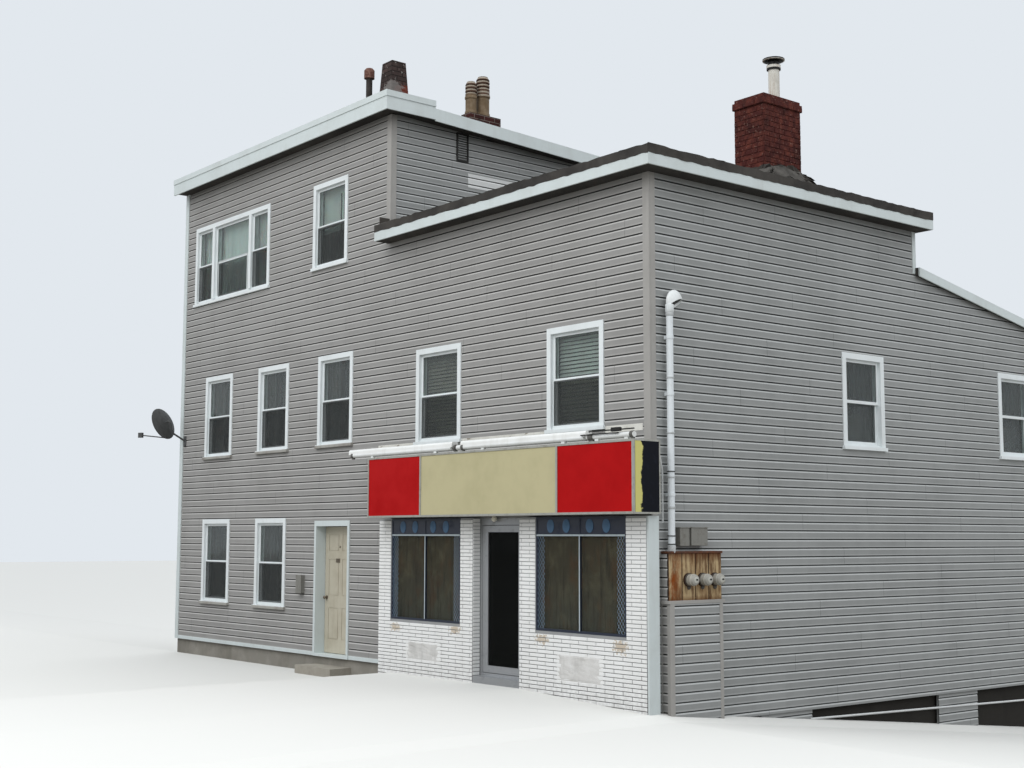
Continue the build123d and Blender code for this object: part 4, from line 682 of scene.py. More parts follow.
# Softwood meter board: sawn, once painted tan, run with rust from the metal above it
def makeMeterBoard(name):
    material, tree, shader, place = newFinish(name, {"Roughness": 0.8, "Specular IOR Level": 0.15})
    axes = addNode(tree, "SeparateXYZ", None, {0: place})
    runs = patches(tree, place, 70.0, 0.44, 0.6, 6.0, 0.7, (1, 1, 0.16))
    blotch = patches(tree, place, 220.0, 0.47, 0.62, 5.0, 0.65, (1, 1, 0.6))
    top = addNode(
        tree, "MapRange", {"From Min": 2.8, "From Max": 2.92}, {"Value": axes.outputs[2]}).outputs[0]
    foot = addNode(
        tree, "MapRange", {"From Min": 2.4, "From Max": 2.35}, {"Value": axes.outputs[2]}).outputs[0]
    left = addNode(
        tree, "MapRange", {"From Min": -4.78, "From Max": -4.98}, {"Value": axes.outputs[1]}).outputs[0]
    spread = addNode(tree, "Math", {"operation": "MULTIPLY"}, {0: left, 1: blotch}).outputs[0]
    tree.links.new(
        layered(
            tree, "#B7A17C",
            [
                (blotch, "#8C6E4C", 0.7), (runs, "#4C2B14", 0.8),
                (spread, "#84400F", 0.95), (top, "#54290F", 0.85),
                (foot, "#5A3316", 0.6)]),
        shader.inputs["Base Color"])
    grain = addNode(tree, "Mapping", {"Scale": (1, 1, 0.06)}, {"Vector": place}).outputs[0]
    grain = addNode(tree, "TexNoise", {"Scale": 160.0, "Detail": 5.0}, {"Vector": grain}).outputs["Fac"]
    surfaceRelief(tree, shader, [grain, runs], 0.6, 0.0015)
    return material


# Fibreglass insect screen: dark grey mesh, seen half through
def makeScreen(name):
    material, tree, shader, place = newFinish(
        name, {"Roughness": 0.8, "Alpha": 0.4, "Specular IOR Level": 0.1})
    dust = patches(tree, place, 160.0, 0.4, 0.8)
    tree.links.new(
        layered(tree, "#3E4141", [(dust, "#5C5E5B", 0.5)]),
        shader.inputs["Base Color"])
    return material


look = {
    "foundation_concrete": makeMasonry(
        "cast concrete, stained", "#8D8A82", "#A6A298", "#5B574E", 320.0, 8.0, extra=shadeAtSide),
    "floor_timber": makePaint("bare softwood boards", "#8E6F4B", "#4A3826", 0.5, 0.7, 5.0),
    # each siding's last two colours: the painted highlight on the slopes, and the seams' tone that also
    # paints the shadow under the laps
    "house_clapboard": makeSiding(
        "vinyl siding, front, faded warm grey", "#939290", "#9D9C99", "#787774", "#BDBCB9", "#1C1C1B", 0,
        0.35),
    "side_clapboard": makeSiding(
        "vinyl siding, side, faded grey", "#919392", "#9A9C9B", "#737574", "#BEC1C0", "#1B1D1D", 1, 0.35),
    "white_painted_brick": makeMasonry(
        "painted mortar between bricks", "#A9ABAC", "#BFC1C2", "#7C7A75", 300.0, 5.0, 0.3, 0.0015, 0.8,
        jointShade),
    "party_board": makePaint("bare board, party wall", "#8F8D88", "#5E5B55", 0.45, 0.8, 6.0),
    "roofing_felt": makeRoofing("mineral roofing felt, black", "#343332", "#5E5A55", "#1D1B1A"),
    "roof_cement": makeRoofing("trowelled roof cement", "#343230", "#615C55", "#171514", 9.0),
    "white_trim": makePaint("oil paint on boards, white", "#CCD5D5", "#A3A49D", 0.25),
    "window_white": makePaint("window frame paint, white", "#E2E8E9", "#A9ABA6", 0.2, 0.4, 2.0),
    "window_pane": makeGlass("old float glass", "#DCE4E2", 1.2),
    "display_frame_blue": makeMetal(
        "enamelled steel, navy", "#1B2436", "#39404C", "#0E1118", 0.35, 0.55, 0.4),
    "display_board": makeMasonry(
        "weathered plywood, olive brown", "#574C33", "#756B4E", "#3B2711", 200.0, 4.0, 0.85, 0.001, 0.7,
        boardStains),
    "door_aluminium": makeMetal(
        "anodised aluminium, worn", "#A9ABAD", "#77777A", "#5A5855", 0.35, 0.55, 0.4, 0.6),
    "door_cream": makePaint("gloss paint on door, cream", "#BCB6A4", "#857961", 0.4, 0.42, 2.5),
    "door_brass": makeMetal(
        "tarnished bronze", "#7C7264", "#4E4537", "#2F2615", 0.5, 0.5, 0.4, 0.8, 30.0),
    "step_concrete": makeMasonry("worn concrete step", "#A39E93", "#B9B4A9", "#6C675D", 260.0, 5.0),
    "sign_aluminium": makeMetal(
        "mill aluminium trim", "#A9A9A2", "#7C786C", "#4A4540", 0.4, 0.5, 0.45, 0.4),
    "sign_face": makeSignFace("screen-printed acrylic, red and cream"),
    "lamp_housing": makePaint("enamelled lamp channel, white", "#E4E7E6", "#9A968A", 0.4, 0.4),
    "weathered_board": makePaint(
        "peeling white board", "#DCDBD4", "#9C978C", 0.45, 0.7, 3.0,
        {"sizeMm": 130.0, "from": 0.6, "tone": "#8B8376"}),
    "lamp_bowl": makeMasonry(
        "dusty opal glass", "#F4F1E0", "#FFFDF2", "#B5AE95", 40.0, 2.0, 0.5, 0.0004, 0.4),
    "red_brick": makeMasonry(
        "fired clay brick, dark red", "#4A221E", "#743D30", "#211312", 105.0, 4.0, 0.8, extra=limeBloom),
    "rusty_steel": makeMasonry(
        "cast vent stack, sooty, rusted cap", "#34302D", "#4A4440", "#1D1A18", 70.0, 3.0, 0.6, 0.001, 0.7,
        ventRust),
    "grey_cement": makeBrickwork(
        "sooty brick with cement patches", "#3B3230", "#4B3D3A", "#1C1918", [("#8B8782", 0.6, 90.0)],
        stackScars),
    "clay": makeMasonry(
        "salt-glazed clay pot", "#74624B", "#8C7D68", "#44331F", 90.0, 3.0, 0.7, 0.001, 0.55, potBands),
    "galvanised_steel": makeMetal(
        "painted conduit, white", "#DCE2E5", "#A5A49E", "#7B7871", 0.3, 0.6, 0.4),
    "grey_cast_hood": makeMetal(
        "painted cast hood, white", "#E4E8E8", "#A5A39C", "#6A665F", 0.3, 0.56, 0.45),
    "meter_panel_steel": makeMeterBoard("sawn meter board, rust-run"),
    "meter_glass": makePaint("meter cover, grey", "#A2A098", "#6A675E", 0.4, 0.25),
    "service_box_grey": makeMetal(
        "painted steel box, grey", "#7B7A74", "#5F574D", "#3C3731", 0.5, 0.52, 0.5),
    "white_conduit": makePaint("plastic conduit, white", "#D3D6D6", "#9A988F", 0.3, 0.4),
    "skirt_metal": makeMetal(
        "galvanised skirt sheet", "#989B9A", "#6F6C64", "#4C463D", 0.5, 0.5, 0.5, 0.3),
    "louvre_grey": makeMetal("painted louvre, sooty", "#22211F", "#171614", "#0E0D0C", 0.4, 0.5, 0.7),
    "dish_grey": makeMetal("powder-coated steel, grey", "#4B4C4C", "#3A3938", "#2A2827", 0.4, 0.5, 0.6)}
paintedBrick = makeMasonry(
    "masonry paint on brick, white", "#F3F4F3", "#FAFAF9", "#C2C0B9", 300.0, 5.0, 0.2, 0.0012, 0.75,
    extra=brickWear)
# the walls' inner faces: painted shade for the unlit rooms
interiorShade = makeMasonry(
    "bare plaster, painted shade of unlit rooms", "#45423E", "#524F4A", "#2C2A27", 400.0, 8.0, 0.4, extra=outerFaces)
stackBrickwork = makeBrickwork(
    "stack brick, dark, pale joints", "#472624", "#3A2321", "#7A716A", [("#1E1716", 0.6, 120.0)])
cornerVinyl = makePaint("vinyl corner post, faded grey", "#A19F9B", "#7E7C78", 0.3, 0.6, 9.0)
# the shop door's glass is tinted near black: painted shade of the dark shop behind it
darkDoorGlass = makeGlass("shop door glass, tinted dark as painted shade", "#5C605E", 1.08, 0.03)
displayGlass = makeVeilGlass("display glass, dusty film", "#59625E", 0.16)
backSheet = makeMetal("rusted back sheet", "#2E1A0E", "#4A2812", "#170D07", 0.6, 0.45, 0.8)
flueEnamel = makeMasonry(
    "enamelled flue, cream, sooty cap", "#D2D0C7", "#DEDDD6", "#8A8074", 60.0, 2.0, 0.45, 0.0005, 0.4,
    flueBands)
cladWalls = (
    "house_front_wall_left", "house_front_wall_right", "house_front_wall_upper", "shop_front_wall_upper",
    "side_wall", "house_rear_wall", "wing_rear_wall", "dividing_wall")
ownLook = {
    "shop_door_glass": darkDoorGlass, "display_window_glass": displayGlass, "pot_stack": stackBrickwork,
    "meter_panel": backSheet, "flue_pipe": flueEnamel, **{name: interiorShade for name in cladWalls}}
slotOf = {part["node"]: part["material_slot"] for part in frame["record"]["subparts"]}
for name, node in nodes.items():
    node.data.materials.clear()
    node.data.materials.append(ownLook.get(name) or look[slotOf[name]])
print("stage: materials on the CAD parts")


siding = {
    "course": 0.1143, "faceHeight": 0.08, "proud": 0.02, "faceLean": 0.002, "back": 0.004,
    "thickness": 0.0025, "holeLap": 0.02}
# windows: (middle along the wall, foot, width, height), all to the outside of the casing
frontWindows = [
    (-5.375, 4.51, 1.03, 1.52), (-3.39, 4.525, 1.04, 1.505), (-1.40, 4.535, 1.04, 1.505),
    (-1.63, 7.495, 1.06, 1.455), (-5.03, 7.425, 2.82, 1.51), (-5.37, 1.89, 1.03, 1.52),
    (-3.40, 1.89, 1.03, 1.52), (1.41, 4.445, 1.10, 1.425), (4.40, 4.455, 1.10, 1.395)]
sideWindows = [(-1.01, 4.32, 0.94, 1.35), (2.865, 4.32, 0.94, 1.35)]
rearWindows = [
    (-5.15, 1.89, 1.03, 1.52), (-1.85, 1.89, 1.03, 1.52), (-5.15, 4.53, 1.04, 1.50),
    (-1.85, 4.53, 1.04, 1.50), (-5.15, 7.37, 1.04, 1.45), (-1.85, 7.37, 1.04, 1.45),
    (1.45, 1.89, 1.03, 1.40), (4.25, 1.89, 1.03, 1.40), (1.45, 4.32, 0.94, 1.35),
    (4.25, 4.32, 0.94, 1.35)]


def holesFor(windows):
    lap = siding["holeLap"]
    return [
        (mid - width / 2 + lap, mid + width / 2 - lap, foot + 0.01, foot + height - lap)
        for mid, foot, width, height in windows]


def makeSidingSheet(name, left, right, low, high, holes=(), slopes=()):
    # courses between two heights, drawn facing -Y with x along the wall; the courses of all sheets line up
    size = siding
    firstCourse = math.floor(low / size["course"])
    courses = math.ceil(high / size["course"]) - firstCourse
    deselectAll()
    bpy.ops.mesh.primitive_plane_add(size=1, location=(0, 0, 0))
    sheet = bpy.context.object
    sheet.name = name
    sheet.scale = (right - left, size["faceHeight"], 1)
    sheet.rotation_euler = (quarterTurn, 0, 0)
    sheet.location = (
        (left + right) / 2, -size["proud"], firstCourse * size["course"] + size["faceHeight"] / 2)
    settle(sheet)
    foot = firstCourse * size["course"]
    openForEdit(sheet)
    pickEdges(sheet, lambda a, b: abs(a.z - b.z) < 1e-4 and a.z > foot + 0.01)
    bpy.ops.transform.translate(value=(0, size["faceLean"], 0))
    bpy.ops.mesh.extrude_edges_move(
        TRANSFORM_OT_translate={
            "value": (
                0, size["proud"] - size["faceLean"] - size["back"], size["course"] - size["faceHeight"])})
    pickEdges(sheet, lambda a, b: abs(a.z - b.z) < 1e-4 and a.z < foot + 0.001)
    bpy.ops.mesh.extrude_edges_move(TRANSFORM_OT_translate={"value": (0, size["proud"] - size["back"], 0)})
    closeEdit()
    repeatAlong(
        sheet, courses, (0, 0, size["course"]), {"use_merge_vertices": True, "merge_threshold": 0.0005})
    openForEdit(sheet)
    bpy.ops.mesh.bisect(plane_co=(0, 0, low), plane_no=(0, 0, 1), clear_inner=True)
    bpy.ops.mesh.select_all(action="SELECT")
    bpy.ops.mesh.bisect(plane_co=(0, 0, high), plane_no=(0, 0, 1), clear_outer=True)
    for point, normal in slopes:
        bpy.ops.mesh.select_all(action="SELECT")
        bpy.ops.mesh.bisect(plane_co=point, plane_no=normal, clear_outer=True)
    for holeLeft, holeRight, holeLow, holeHigh in holes:
        cuts = (
            ((holeLeft, 0, 0), (1, 0, 0)), ((holeRight, 0, 0), (1, 0, 0)), ((0, 0, holeLow), (0, 0, 1)),
            ((0, 0, holeHigh), (0, 0, 1)))
        for point, normal in cuts:
            pickAcross(sheet, holeLeft, holeRight, holeLow, holeHigh)
            bpy.ops.mesh.bisect(plane_co=point, plane_no=normal)
        pickFaces(sheet, lambda c, n: holeLeft < c.x < holeRight and holeLow < c.z < holeHigh)
        bpy.ops.mesh.delete(type="FACE")
    bpy.ops.mesh.select_all(action="SELECT")
    bpy.ops.mesh.normals_make_consistent(inside=False)
    closeEdit()
    if sum(face.normal.y * face.area for face in sheet.data.polygons) > 0:
        openForEdit(sheet)
        bpy.ops.mesh.flip_normals()
        closeEdit()
    applyModifier(sheet, "SOLIDIFY", {"thickness": size["thickness"], "offset": -1.0})
    return sheet


def hangSiding(name, left, right, low, high, wall, slot="side_clapboard", holes=(), slopes=()):
    # a sheet of siding stood on a wall, which is given by its origin and its turn
    sheet = makeSidingSheet(name, left, right, low, high, holes, slopes)
    dress(placeOn(sheet, *wall), slot)


frontWall, sideWall = ((0, frontY, 0), 0), ((cornerX, 0, 0), quarterTurn)
houseSide, rearWall = ((divideX, 0, 0), quarterTurn), ((0, rearY, 0), math.pi)
doorHole = (apartmentX - 0.51, apartmentX + 0.51, 1.0, 3.34)
shopfrontHole = (divideX + 0.01, cornerX, 1.0, 3.36)
postWidth = 0.085
frontLeft = endX + 0.115
frontHoles = holesFor(frontWindows)
hangSiding(
    "siding_front_lower", frontLeft, cornerX - postWidth + 0.01, 1.26, shopTop, frontWall, "house_clapboard",
    frontHoles + [doorHole, shopfrontHole])
hangSiding(
    "siding_front_upper", frontLeft, divideX - postWidth + 0.01, shopTop, 9.63, frontWall, "house_clapboard",
    frontHoles)

# side wall over the shop, then the raked wall of the wing; drawn with x along the wall
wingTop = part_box("wing_roof")[1].z - 0.11
rake = 0.178
hangSiding(
    "siding_side_shop", frontY + postWidth - 0.01, shopRearY, 0.85, shopTop, sideWall,
    holes=holesFor(sideWindows[:1]))
hangSiding(
    "siding_side_wing", shopRearY, rearY - 0.06, 0.85, wingTop, sideWall, holes=holesFor(sideWindows[1:]),
    slopes=[((shopRearY, 0, wingTop), (rake, 0, 1))])

# the house's upper side, above the roofs of shop and wing, under the fall of its own roof
underRoof = ((frontY + 0.2, 0, houseTop), (0.046, 0, 1))
hangSiding(
    "siding_house_side", frontY + postWidth - 0.01, shopRearY + 0.08, 7.75, houseTop, houseSide,
    slopes=[underRoof])
hangSiding(
    "siding_house_side_rear", shopRearY + 0.08, rearY - 0.06, 6.1, houseTop, houseSide,
    slopes=[underRoof, ((shopRearY, 0, wingTop + 0.11), (-rake, 0, -1))])

# rear walls: drawn mirrored, then turned half round
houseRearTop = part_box("house_rear_wall")[1].z - 0.02
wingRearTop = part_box("wing_rear_wall")[1].z - 0.05
mirrored = [(-mid, foot, width, height) for mid, foot, width, height in rearWindows]
hangSiding(
    "siding_house_rear", -divideX + 0.05, -endX - 0.05, 1.2, houseRearTop, rearWall,
    holes=holesFor(mirrored[:6]))
hangSiding(
    "siding_wing_rear", -cornerX + 0.06, -divideX, 0.85, wingRearTop, rearWall, holes=holesFor(mirrored[6:]))
hangSiding(
    "siding_shop_rear", -cornerX + 0.02, -divideX, wingTop + 0.11, shopTop, ((0, shopRearY, 0), math.pi))
print("stage: siding")


# corner posts of folded vinyl; heights from the foot of the side wall to the heads that they stop under
post = {"width": 0.085, "proud": 0.026, "flat": 0.022, "ease": 0.004, "sideFoot": 0.87, "shopfrontHead": 3.36,
        "rearFoot": 6.35, "rearTop": 9.14}


def makePost(name, x, y, low, high):
    # a corner post folded round an outside corner
    reach, proud = post["width"], post["proud"]
    face = addBlock(name, (x - reach, y - proud, low), (x + proud, y, high), post["ease"], 2)
    side = addBlock(name + "_side", (x, y, low), (x + proud, y + reach, high), post["ease"], 2)
    return joinAll([face, side], name)


shopPost = makePost("corner_post_shop", cornerX, frontY, post["shopfrontHead"], shopTop)
dress(shopPost, "house_clapboard", cornerVinyl)
housePost = makePost("corner_post_house", divideX, frontY, shopTop + 0.14, houseTop - 0.01)
dress(housePost, "house_clapboard", cornerVinyl)
flatPosts = [
    (
        "corner_post_low", (cornerX, frontY + 0.03, post["sideFoot"]),
        (cornerX + post["flat"], frontY + 0.115, post["shopfrontHead"])),
    (
        "rear_post_wing", (cornerX, rearY - post["width"], post["sideFoot"]),
        (cornerX + post["proud"], rearY + 0.02, wingRearTop)),
    (
        "rear_post_house", (divideX - post["width"], rearY - 0.001, post["rearFoot"]),
        (divideX + post["flat"], rearY + 0.024, post["rearTop"])),
    (
        "rear_post_left", (endX - 0.004, rearY - 0.001, 1.2),
        (endX + post["width"], rearY + 0.024, houseRearTop)),
    (
        "rear_post_house_side", (divideX + 0.001, rearY - post["width"], post["rearFoot"]),
        (divideX + post["flat"], rearY, post["rearTop"]))]
for name, low, high in flatPosts:
    dress(addBlock(name, low, high, post["ease"], 2), "side_clapboard", cornerVinyl)
shopRearPost = addBlock("rear_post_shop", (cornerX - 0.02, shopRearY - 0.06, wingTop + 0.02),
                        (cornerX + post["proud"], shopRearY + 0.024, shopTop), post["ease"], 2)
dress(shopRearPost, "white_trim")

# white starter strips under the front's lowest course, one each side of the apartment door
starter = {"proud": 0.024, "low": 1.2, "high": 1.262, "doorCasing": 0.53}
for name, low, high in (("starter_strip_left", frontLeft, apartmentX - starter["doorCasing"]),
                        ("starter_strip_right", apartmentX + starter["doorCasing"], divideX)):
    strip = addBlock(
        name, (low, frontY - starter["proud"], starter["low"]), (high, frontY, starter["high"]), 0.004, 2)
    dress(strip, "white_trim")

# weathered sill boards of the house's two lower rows: sloped on top, overhanging the casing
sillBoard = {
    "horn": 0.024, "proud": 0.066, "height": 0.056, "fall": 0.012, "drop": 0.006, "rows": (0, 1, 2, 5, 6)}
for index in sillBoard["rows"]:
    mid, foot, width, height = frontWindows[index]
    reach, low = width / 2 + sillBoard["horn"], foot - sillBoard["drop"]
    sill = addBlock("sill_board_%d" % index, (mid - reach, frontY - sillBoard["proud"], low),
                    (mid + reach, frontY - 0.002, low + sillBoard["height"]))
    nose = frontY - sillBoard["proud"] / 2
    openForEdit(sill)
    pickEdges(sill, lambda a, b: max(a.y, b.y) < nose and min(a.z, b.z) > foot)
    bpy.ops.transform.translate(value=(0, 0, -sillBoard["fall"]))
    bpy.ops.mesh.select_all(action="SELECT")
    bpy.ops.mesh.bevel(offset=0.003, segments=1, affect="EDGES")
    closeEdit()
    sillPaint = makePaint("weathered sill board, grey %d" % index, "#A3A29C", "#5F5147", 0.6, 0.7, 4.0)
    dress(sill, "weathered_board", sillPaint)

# the middle light of the wide window has a meeting rail like the two beside it
wideRail = addBlock(
    "triple_centre_rail", (-5.6, frontY + 0.006, 8.145), (-4.46, frontY + 0.05, 8.187), 0.004, 2)
dress(wideRail, "window_white")
print("stage: posts and trims")


def openSpans(left, right, low, high, holes):
    # the lengths of a course that no hole cuts away
    spans = [(left, right)]
    for holeLeft, holeRight, holeLow, holeHigh in holes:
        if holeLow < high - 0.012 and low + 0.012 < holeHigh:
            cut = []
            for a, b in spans:
                cut += [(a, min(b, holeLeft))] if holeLeft > a else []
                cut += [(max(a, holeRight), b)] if holeRight < b else []
            spans = [(a, b) for a, b in cut if b - a > 0.02]
    return spans


def makeBrickFace(name, left, right, low, high, brick, holes=(), seed=1):
    # running bond drawn facing -Y: one brick is modelled, and every other is a copy cut to its length
    pitch, rise, joint = brick["length"], brick["rise"], brick["joint"]
    master = addBlock(
        name + "_brick", (0, -brick["proud"], 0), (pitch - joint, brick["sink"], rise - joint),
        brick["ease"], 1)
    dice = random.Random(seed)
    laid = []
    row = 0
    z = low
    while z + rise * 0.5 < high:
        height = min(rise, high - z)
        for a, b in openSpans(left, right, z, z + height, holes):
            x = math.floor((a - left) / pitch) * pitch + left - (pitch / 2 if row % 2 else 0)
            while x < b - 0.01:
                first, last = max(x, a), min(x + pitch, b)
                if last - first > 0.03:
                    copy = copyOf(master, name, (first, -dice.random() * brick["wander"], z + joint / 2))
                    for point in copy.data.vertices:
                        if point.co.x > first + (pitch - joint) / 2:
                            point.co.x += (last - first) - pitch
                        if point.co.z > z + rise / 2:
                            point.co.z += height - rise
                    laid.append(copy)
                x += pitch
        z += rise
        row += 1
    bpy.data.objects.remove(master)
    return joinAll(laid, name)


# the shop front's bricks, 320 mm by 51 mm with their joints, set round the door and the display windows
shopBrick = {
    "length": 0.32, "rise": 0.0508, "joint": 0.009, "proud": 0.007, "sink": 0.002, "ease": 0.003,
    "wander": 0.0025}
brickLow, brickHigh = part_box("storefront_brick")
doorLeft, doorRight = 2.43, 3.44
displays = [(0.445, 2.145), (3.77, 5.47)]
displayFoot, displayHead = 1.90, 3.36
pastTop = 9.0
brickHoles = [(a, b, displayFoot, pastTop) for a, b in displays] + [(doorLeft, doorRight, 0.0, pastTop)]
frontBricks = makeBrickFace(
    "shop_bricks_front", brickLow.x, brickHigh.x, frontFootZ, brickHigh.z, shopBrick, brickHoles)
placeOn(frontBricks, (0, brickLow.y, 0), 0)
reveals = [frontBricks]
stepRise = 0.27
for name, x, turn, depth, lift in (
        ("shop_bricks_left", brickLow.x, -quarterTurn, 0.15, 0.0),
        ("shop_bricks_door_left", doorLeft, quarterTurn, 0.125, stepRise),
        ("shop_bricks_door_right", doorRight, -quarterTurn, 0.125, stepRise)):
    low = brickLow.y if turn > 0 else -(brickLow.y + depth)
    side = makeBrickFace(name, low, low + depth, frontFootZ + lift, brickHigh.z, shopBrick, (), 5)
    reveals.append(placeOn(side, (x, 0, 0), turn))
dress(joinAll(reveals, "shop_bricks"), "white_painted_brick", paintedBrick)

# two old vents, smeared over with mortar and painted; the smear's rim wanders
ventPatches = [
    ("mortar_patch_left", 0.853, 1.677, 1.34, 1.603), ("mortar_patch_right", 4.198, 5.039, 1.298, 1.636)]
smearForm = {"proud": 0.011, "sink": 0.002, "cuts": 9, "rim": 0.02, "wanderX": 0.012, "wanderZ": 0.009}
dice = random.Random(11)
for name, left, right, low, high in ventPatches:
    smear = addBlock(
        name, (left, brickLow.y - smearForm["proud"], low), (right, brickLow.y - smearForm["sink"], high))
    cutUp(smear, smearForm["cuts"])
    for point in smear.data.vertices:
        rim = min(point.co.x - left, right - point.co.x, point.co.z - low, high - point.co.z)
        if rim < smearForm["rim"]:
            point.co.x += dice.uniform(-smearForm["wanderX"], smearForm["wanderX"])
            point.co.z += dice.uniform(-smearForm["wanderZ"], smearForm["wanderZ"])
        if point.co.y < brickLow.y - 0.005:
            point.co.y += dice.uniform(-0.0015, 0.0025) + (0.006 if rim < 0.004 else 0.0)
    mortar = makeMasonry(
        "trowelled mortar, painted, " + name[-5:], "#DAD9D6", "#EBEBE9", "#ADACA8", 90.0, 9.0, 0.6, 0.004,
        0.85)
    dress(smear, "white_painted_brick", mortar)

# the red stack: four faces of bricks, and a corbelled cap that stands out round them
stackBrick = {
    "length": 0.215, "rise": 0.075, "joint": 0.01, "proud": 0.006, "sink": 0.004, "ease": 0.004,
    "wander": 0.004}
redLow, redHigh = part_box("red_chimney")
heapMiddle = (redLow + redHigh) / 2
corbel, capRise, capTop = 0.022, 0.15, 0.05
redWide, redDeep = redHigh.x - redLow.x, redHigh.y - redLow.y
sides = []
for name, width, centre, turn, origin, inward in (
        ("front", redWide, heapMiddle.x, 0, (0, redLow.y, 0), (0, corbel, 0)),
        ("back", redWide, -heapMiddle.x, math.pi, (0, redHigh.y, 0), (0, -corbel, 0)),
        ("right", redDeep, heapMiddle.y, quarterTurn, (redHigh.x, 0, 0), (-corbel, 0, 0)),
        ("left", redDeep, -heapMiddle.y, -quarterTurn, (redLow.x, 0, 0), (corbel, 0, 0))):
    left, right = centre - width / 2, centre + width / 2
    shaft = makeBrickFace(
        "red_bricks_" + name, left + corbel, right - corbel, redLow.z + 0.02, redHigh.z - capRise,
        stackBrick, (), 7)
    cap = makeBrickFace(
        "red_bricks_cap_" + name, left, right, redHigh.z - capRise, redHigh.z - capTop, stackBrick, (), 8)
    placeOn(shaft, Vector(origin) + Vector(inward), turn)
    placeOn(cap, origin, turn)
    sides += [shaft, cap]
dress(joinAll(sides, "red_chimney_bricks"), "red_brick")

# roof cement heaped round the foot of the red stack, then torn flaps of roofing leaning on it
heap = {"spread": 0.22, "height": 0.58, "lump": 0.04, "taper": 0.24, "slump": 0.09, "cuts": 13}
mound = addBlock("roof_cement_heap", redLow - Vector((heap["spread"], heap["spread"], 0)),
                 (redHigh.x + heap["spread"], redHigh.y + heap["spread"], redLow.z + heap["height"]))
cutUp(mound, heap["cuts"])
dice = random.Random(4)
for point in mound.data.vertices:
    rise = (point.co.z - redLow.z) / heap["height"]
    taper = 1 - heap["taper"] * rise
    point.co.x = heapMiddle.x + (point.co.x - heapMiddle.x) * taper
    point.co.y = heapMiddle.y + (point.co.y - heapMiddle.y) * taper
    if rise > 0.001:
        point.co += Vector([dice.uniform(-heap["lump"], heap["lump"]) for axis in "xyz"])
        point.co.z -= heap["slump"] * max(0.0, rise - 0.5) * abs(point.co.y - heapMiddle.y) / 0.4
applyModifier(mound, "BEVEL", {"width": 0.006, "segments": 1})
dress(mound, "roof_cement")

flapForm = {
    "count": 26, "half": 0.16, "thick": 0.006, "shortest": 0.1, "tallest": 0.2, "lift": 0.16,
    "tear": 0.02, "curl": 0.004, "standOff": 0.2}
flaps = []
for number in range(flapForm["count"]):
    turnAt = dice.uniform(-0.9, 0.9)
    onFront = number % 2
    if onFront:
        middle = (heapMiddle.x + turnAt * 0.5, redLow.y - flapForm["standOff"])
    else:
        middle = (redHigh.x + flapForm["standOff"], heapMiddle.y + turnAt * 0.45)
    base = redLow.z + flapForm["lift"] + dice.uniform(0.0, 0.24)
    flap = addBlock(
        "flap", (-flapForm["half"], -flapForm["thick"], 0.0),
        (flapForm["half"], flapForm["thick"], dice.uniform(flapForm["shortest"], flapForm["tallest"])))
    cutUp(flap, 4)
    for point in flap.data.vertices:
        tear = flapForm["tear"] if abs(point.co.x) > 0.1 or point.co.z > 0.08 else flapForm["curl"]
        point.co += Vector(
            (
                dice.uniform(-tear, tear), dice.uniform(-flapForm["curl"], flapForm["curl"]),
                dice.uniform(-tear, tear)))
    flap.rotation_euler = (
        dice.uniform(-0.9, -0.35), dice.uniform(-0.25, 0.25), 0 if onFront else quarterTurn)
    flap.location = (middle[0], middle[1], base)
    settle(flap)
    flaps.append(flap)
# pale patches and grit over the torn flaps
tornRoofing = makeRoofing("torn roofing flap, pale patches", "#2C2A28", "#A39F98", "#121110")
dress(joinAll(flaps, "torn_roofing_flaps"), "roof_cement", tornRoofing)
print("stage: brickwork")


# the display windows' dressings: an outer diamond lattice, a printed top band with ovals, and pale bars
lattice = {
    "wire": 0.0042, "pitch": 0.05, "lean": math.radians(35), "standOff": 0.008, "strip": 0.17,
    "edge": 0.012, "headGap": 0.235, "rim": 0.004}
band = {
    "drop": 0.222, "barDrop": 0.246, "topGap": 0.02, "ovalWide": 0.07, "ovalTall": 1.25,
    "ovalDrop": 0.115, "ovalShares": (0.17, 0.35, 0.61, 0.79)}
latticeWire = makeMetal("galvanised lattice wire", "#8CA2B8", "#6C7C8C", "#4A535D", 0.3, 0.55, 0.6)
paleBar = makeMetal("aluminium glazing bar, pale", "#B2BEC3", "#7E898E", "#545B5E", 0.4, 0.52, 0.6)
bandFilm = makeMetal("printed top band, navy", "#0F1A30", "#1E2A44", "#0A0F1B", 0.4, 0.5, 0.3)
ovalFilm = makeMetal("printed oval, pale blue", "#416485", "#587792", "#2A425C", 0.5, 0.5, 0.5)
faceY = brickLow.y


def makeLatticeWires(low, high, lean):
    # one leaning wire, repeated along the strip and cut off at its four edges
    deselectAll()
    middle = (low - 0.9, faceY + lattice["standOff"], (displayFoot + displayHead) / 2)
    bpy.ops.mesh.primitive_cylinder_add(vertices=4, radius=lattice["wire"] / 2, depth=2.4, location=middle)
    wire = bpy.context.object
    wire.rotation_euler = (0, lean, 0)
    settle(wire)
    repeatAlong(wire, int((high - low + 1.9) / lattice["pitch"]), (lattice["pitch"], 0, 0))
    openForEdit(wire)
    for point, normal in (((low, 0, 0), (-1, 0, 0)), ((high, 0, 0), (1, 0, 0)),
                          ((0, 0, displayFoot + lattice["edge"]), (0, 0, -1)),
                          ((0, 0, displayHead - lattice["headGap"]), (0, 0, 1))):
        bpy.ops.mesh.select_all(action="SELECT")
        bpy.ops.mesh.bisect(plane_co=point, plane_no=normal, clear_outer=True, use_fill=True)
    closeEdit()
    return wire


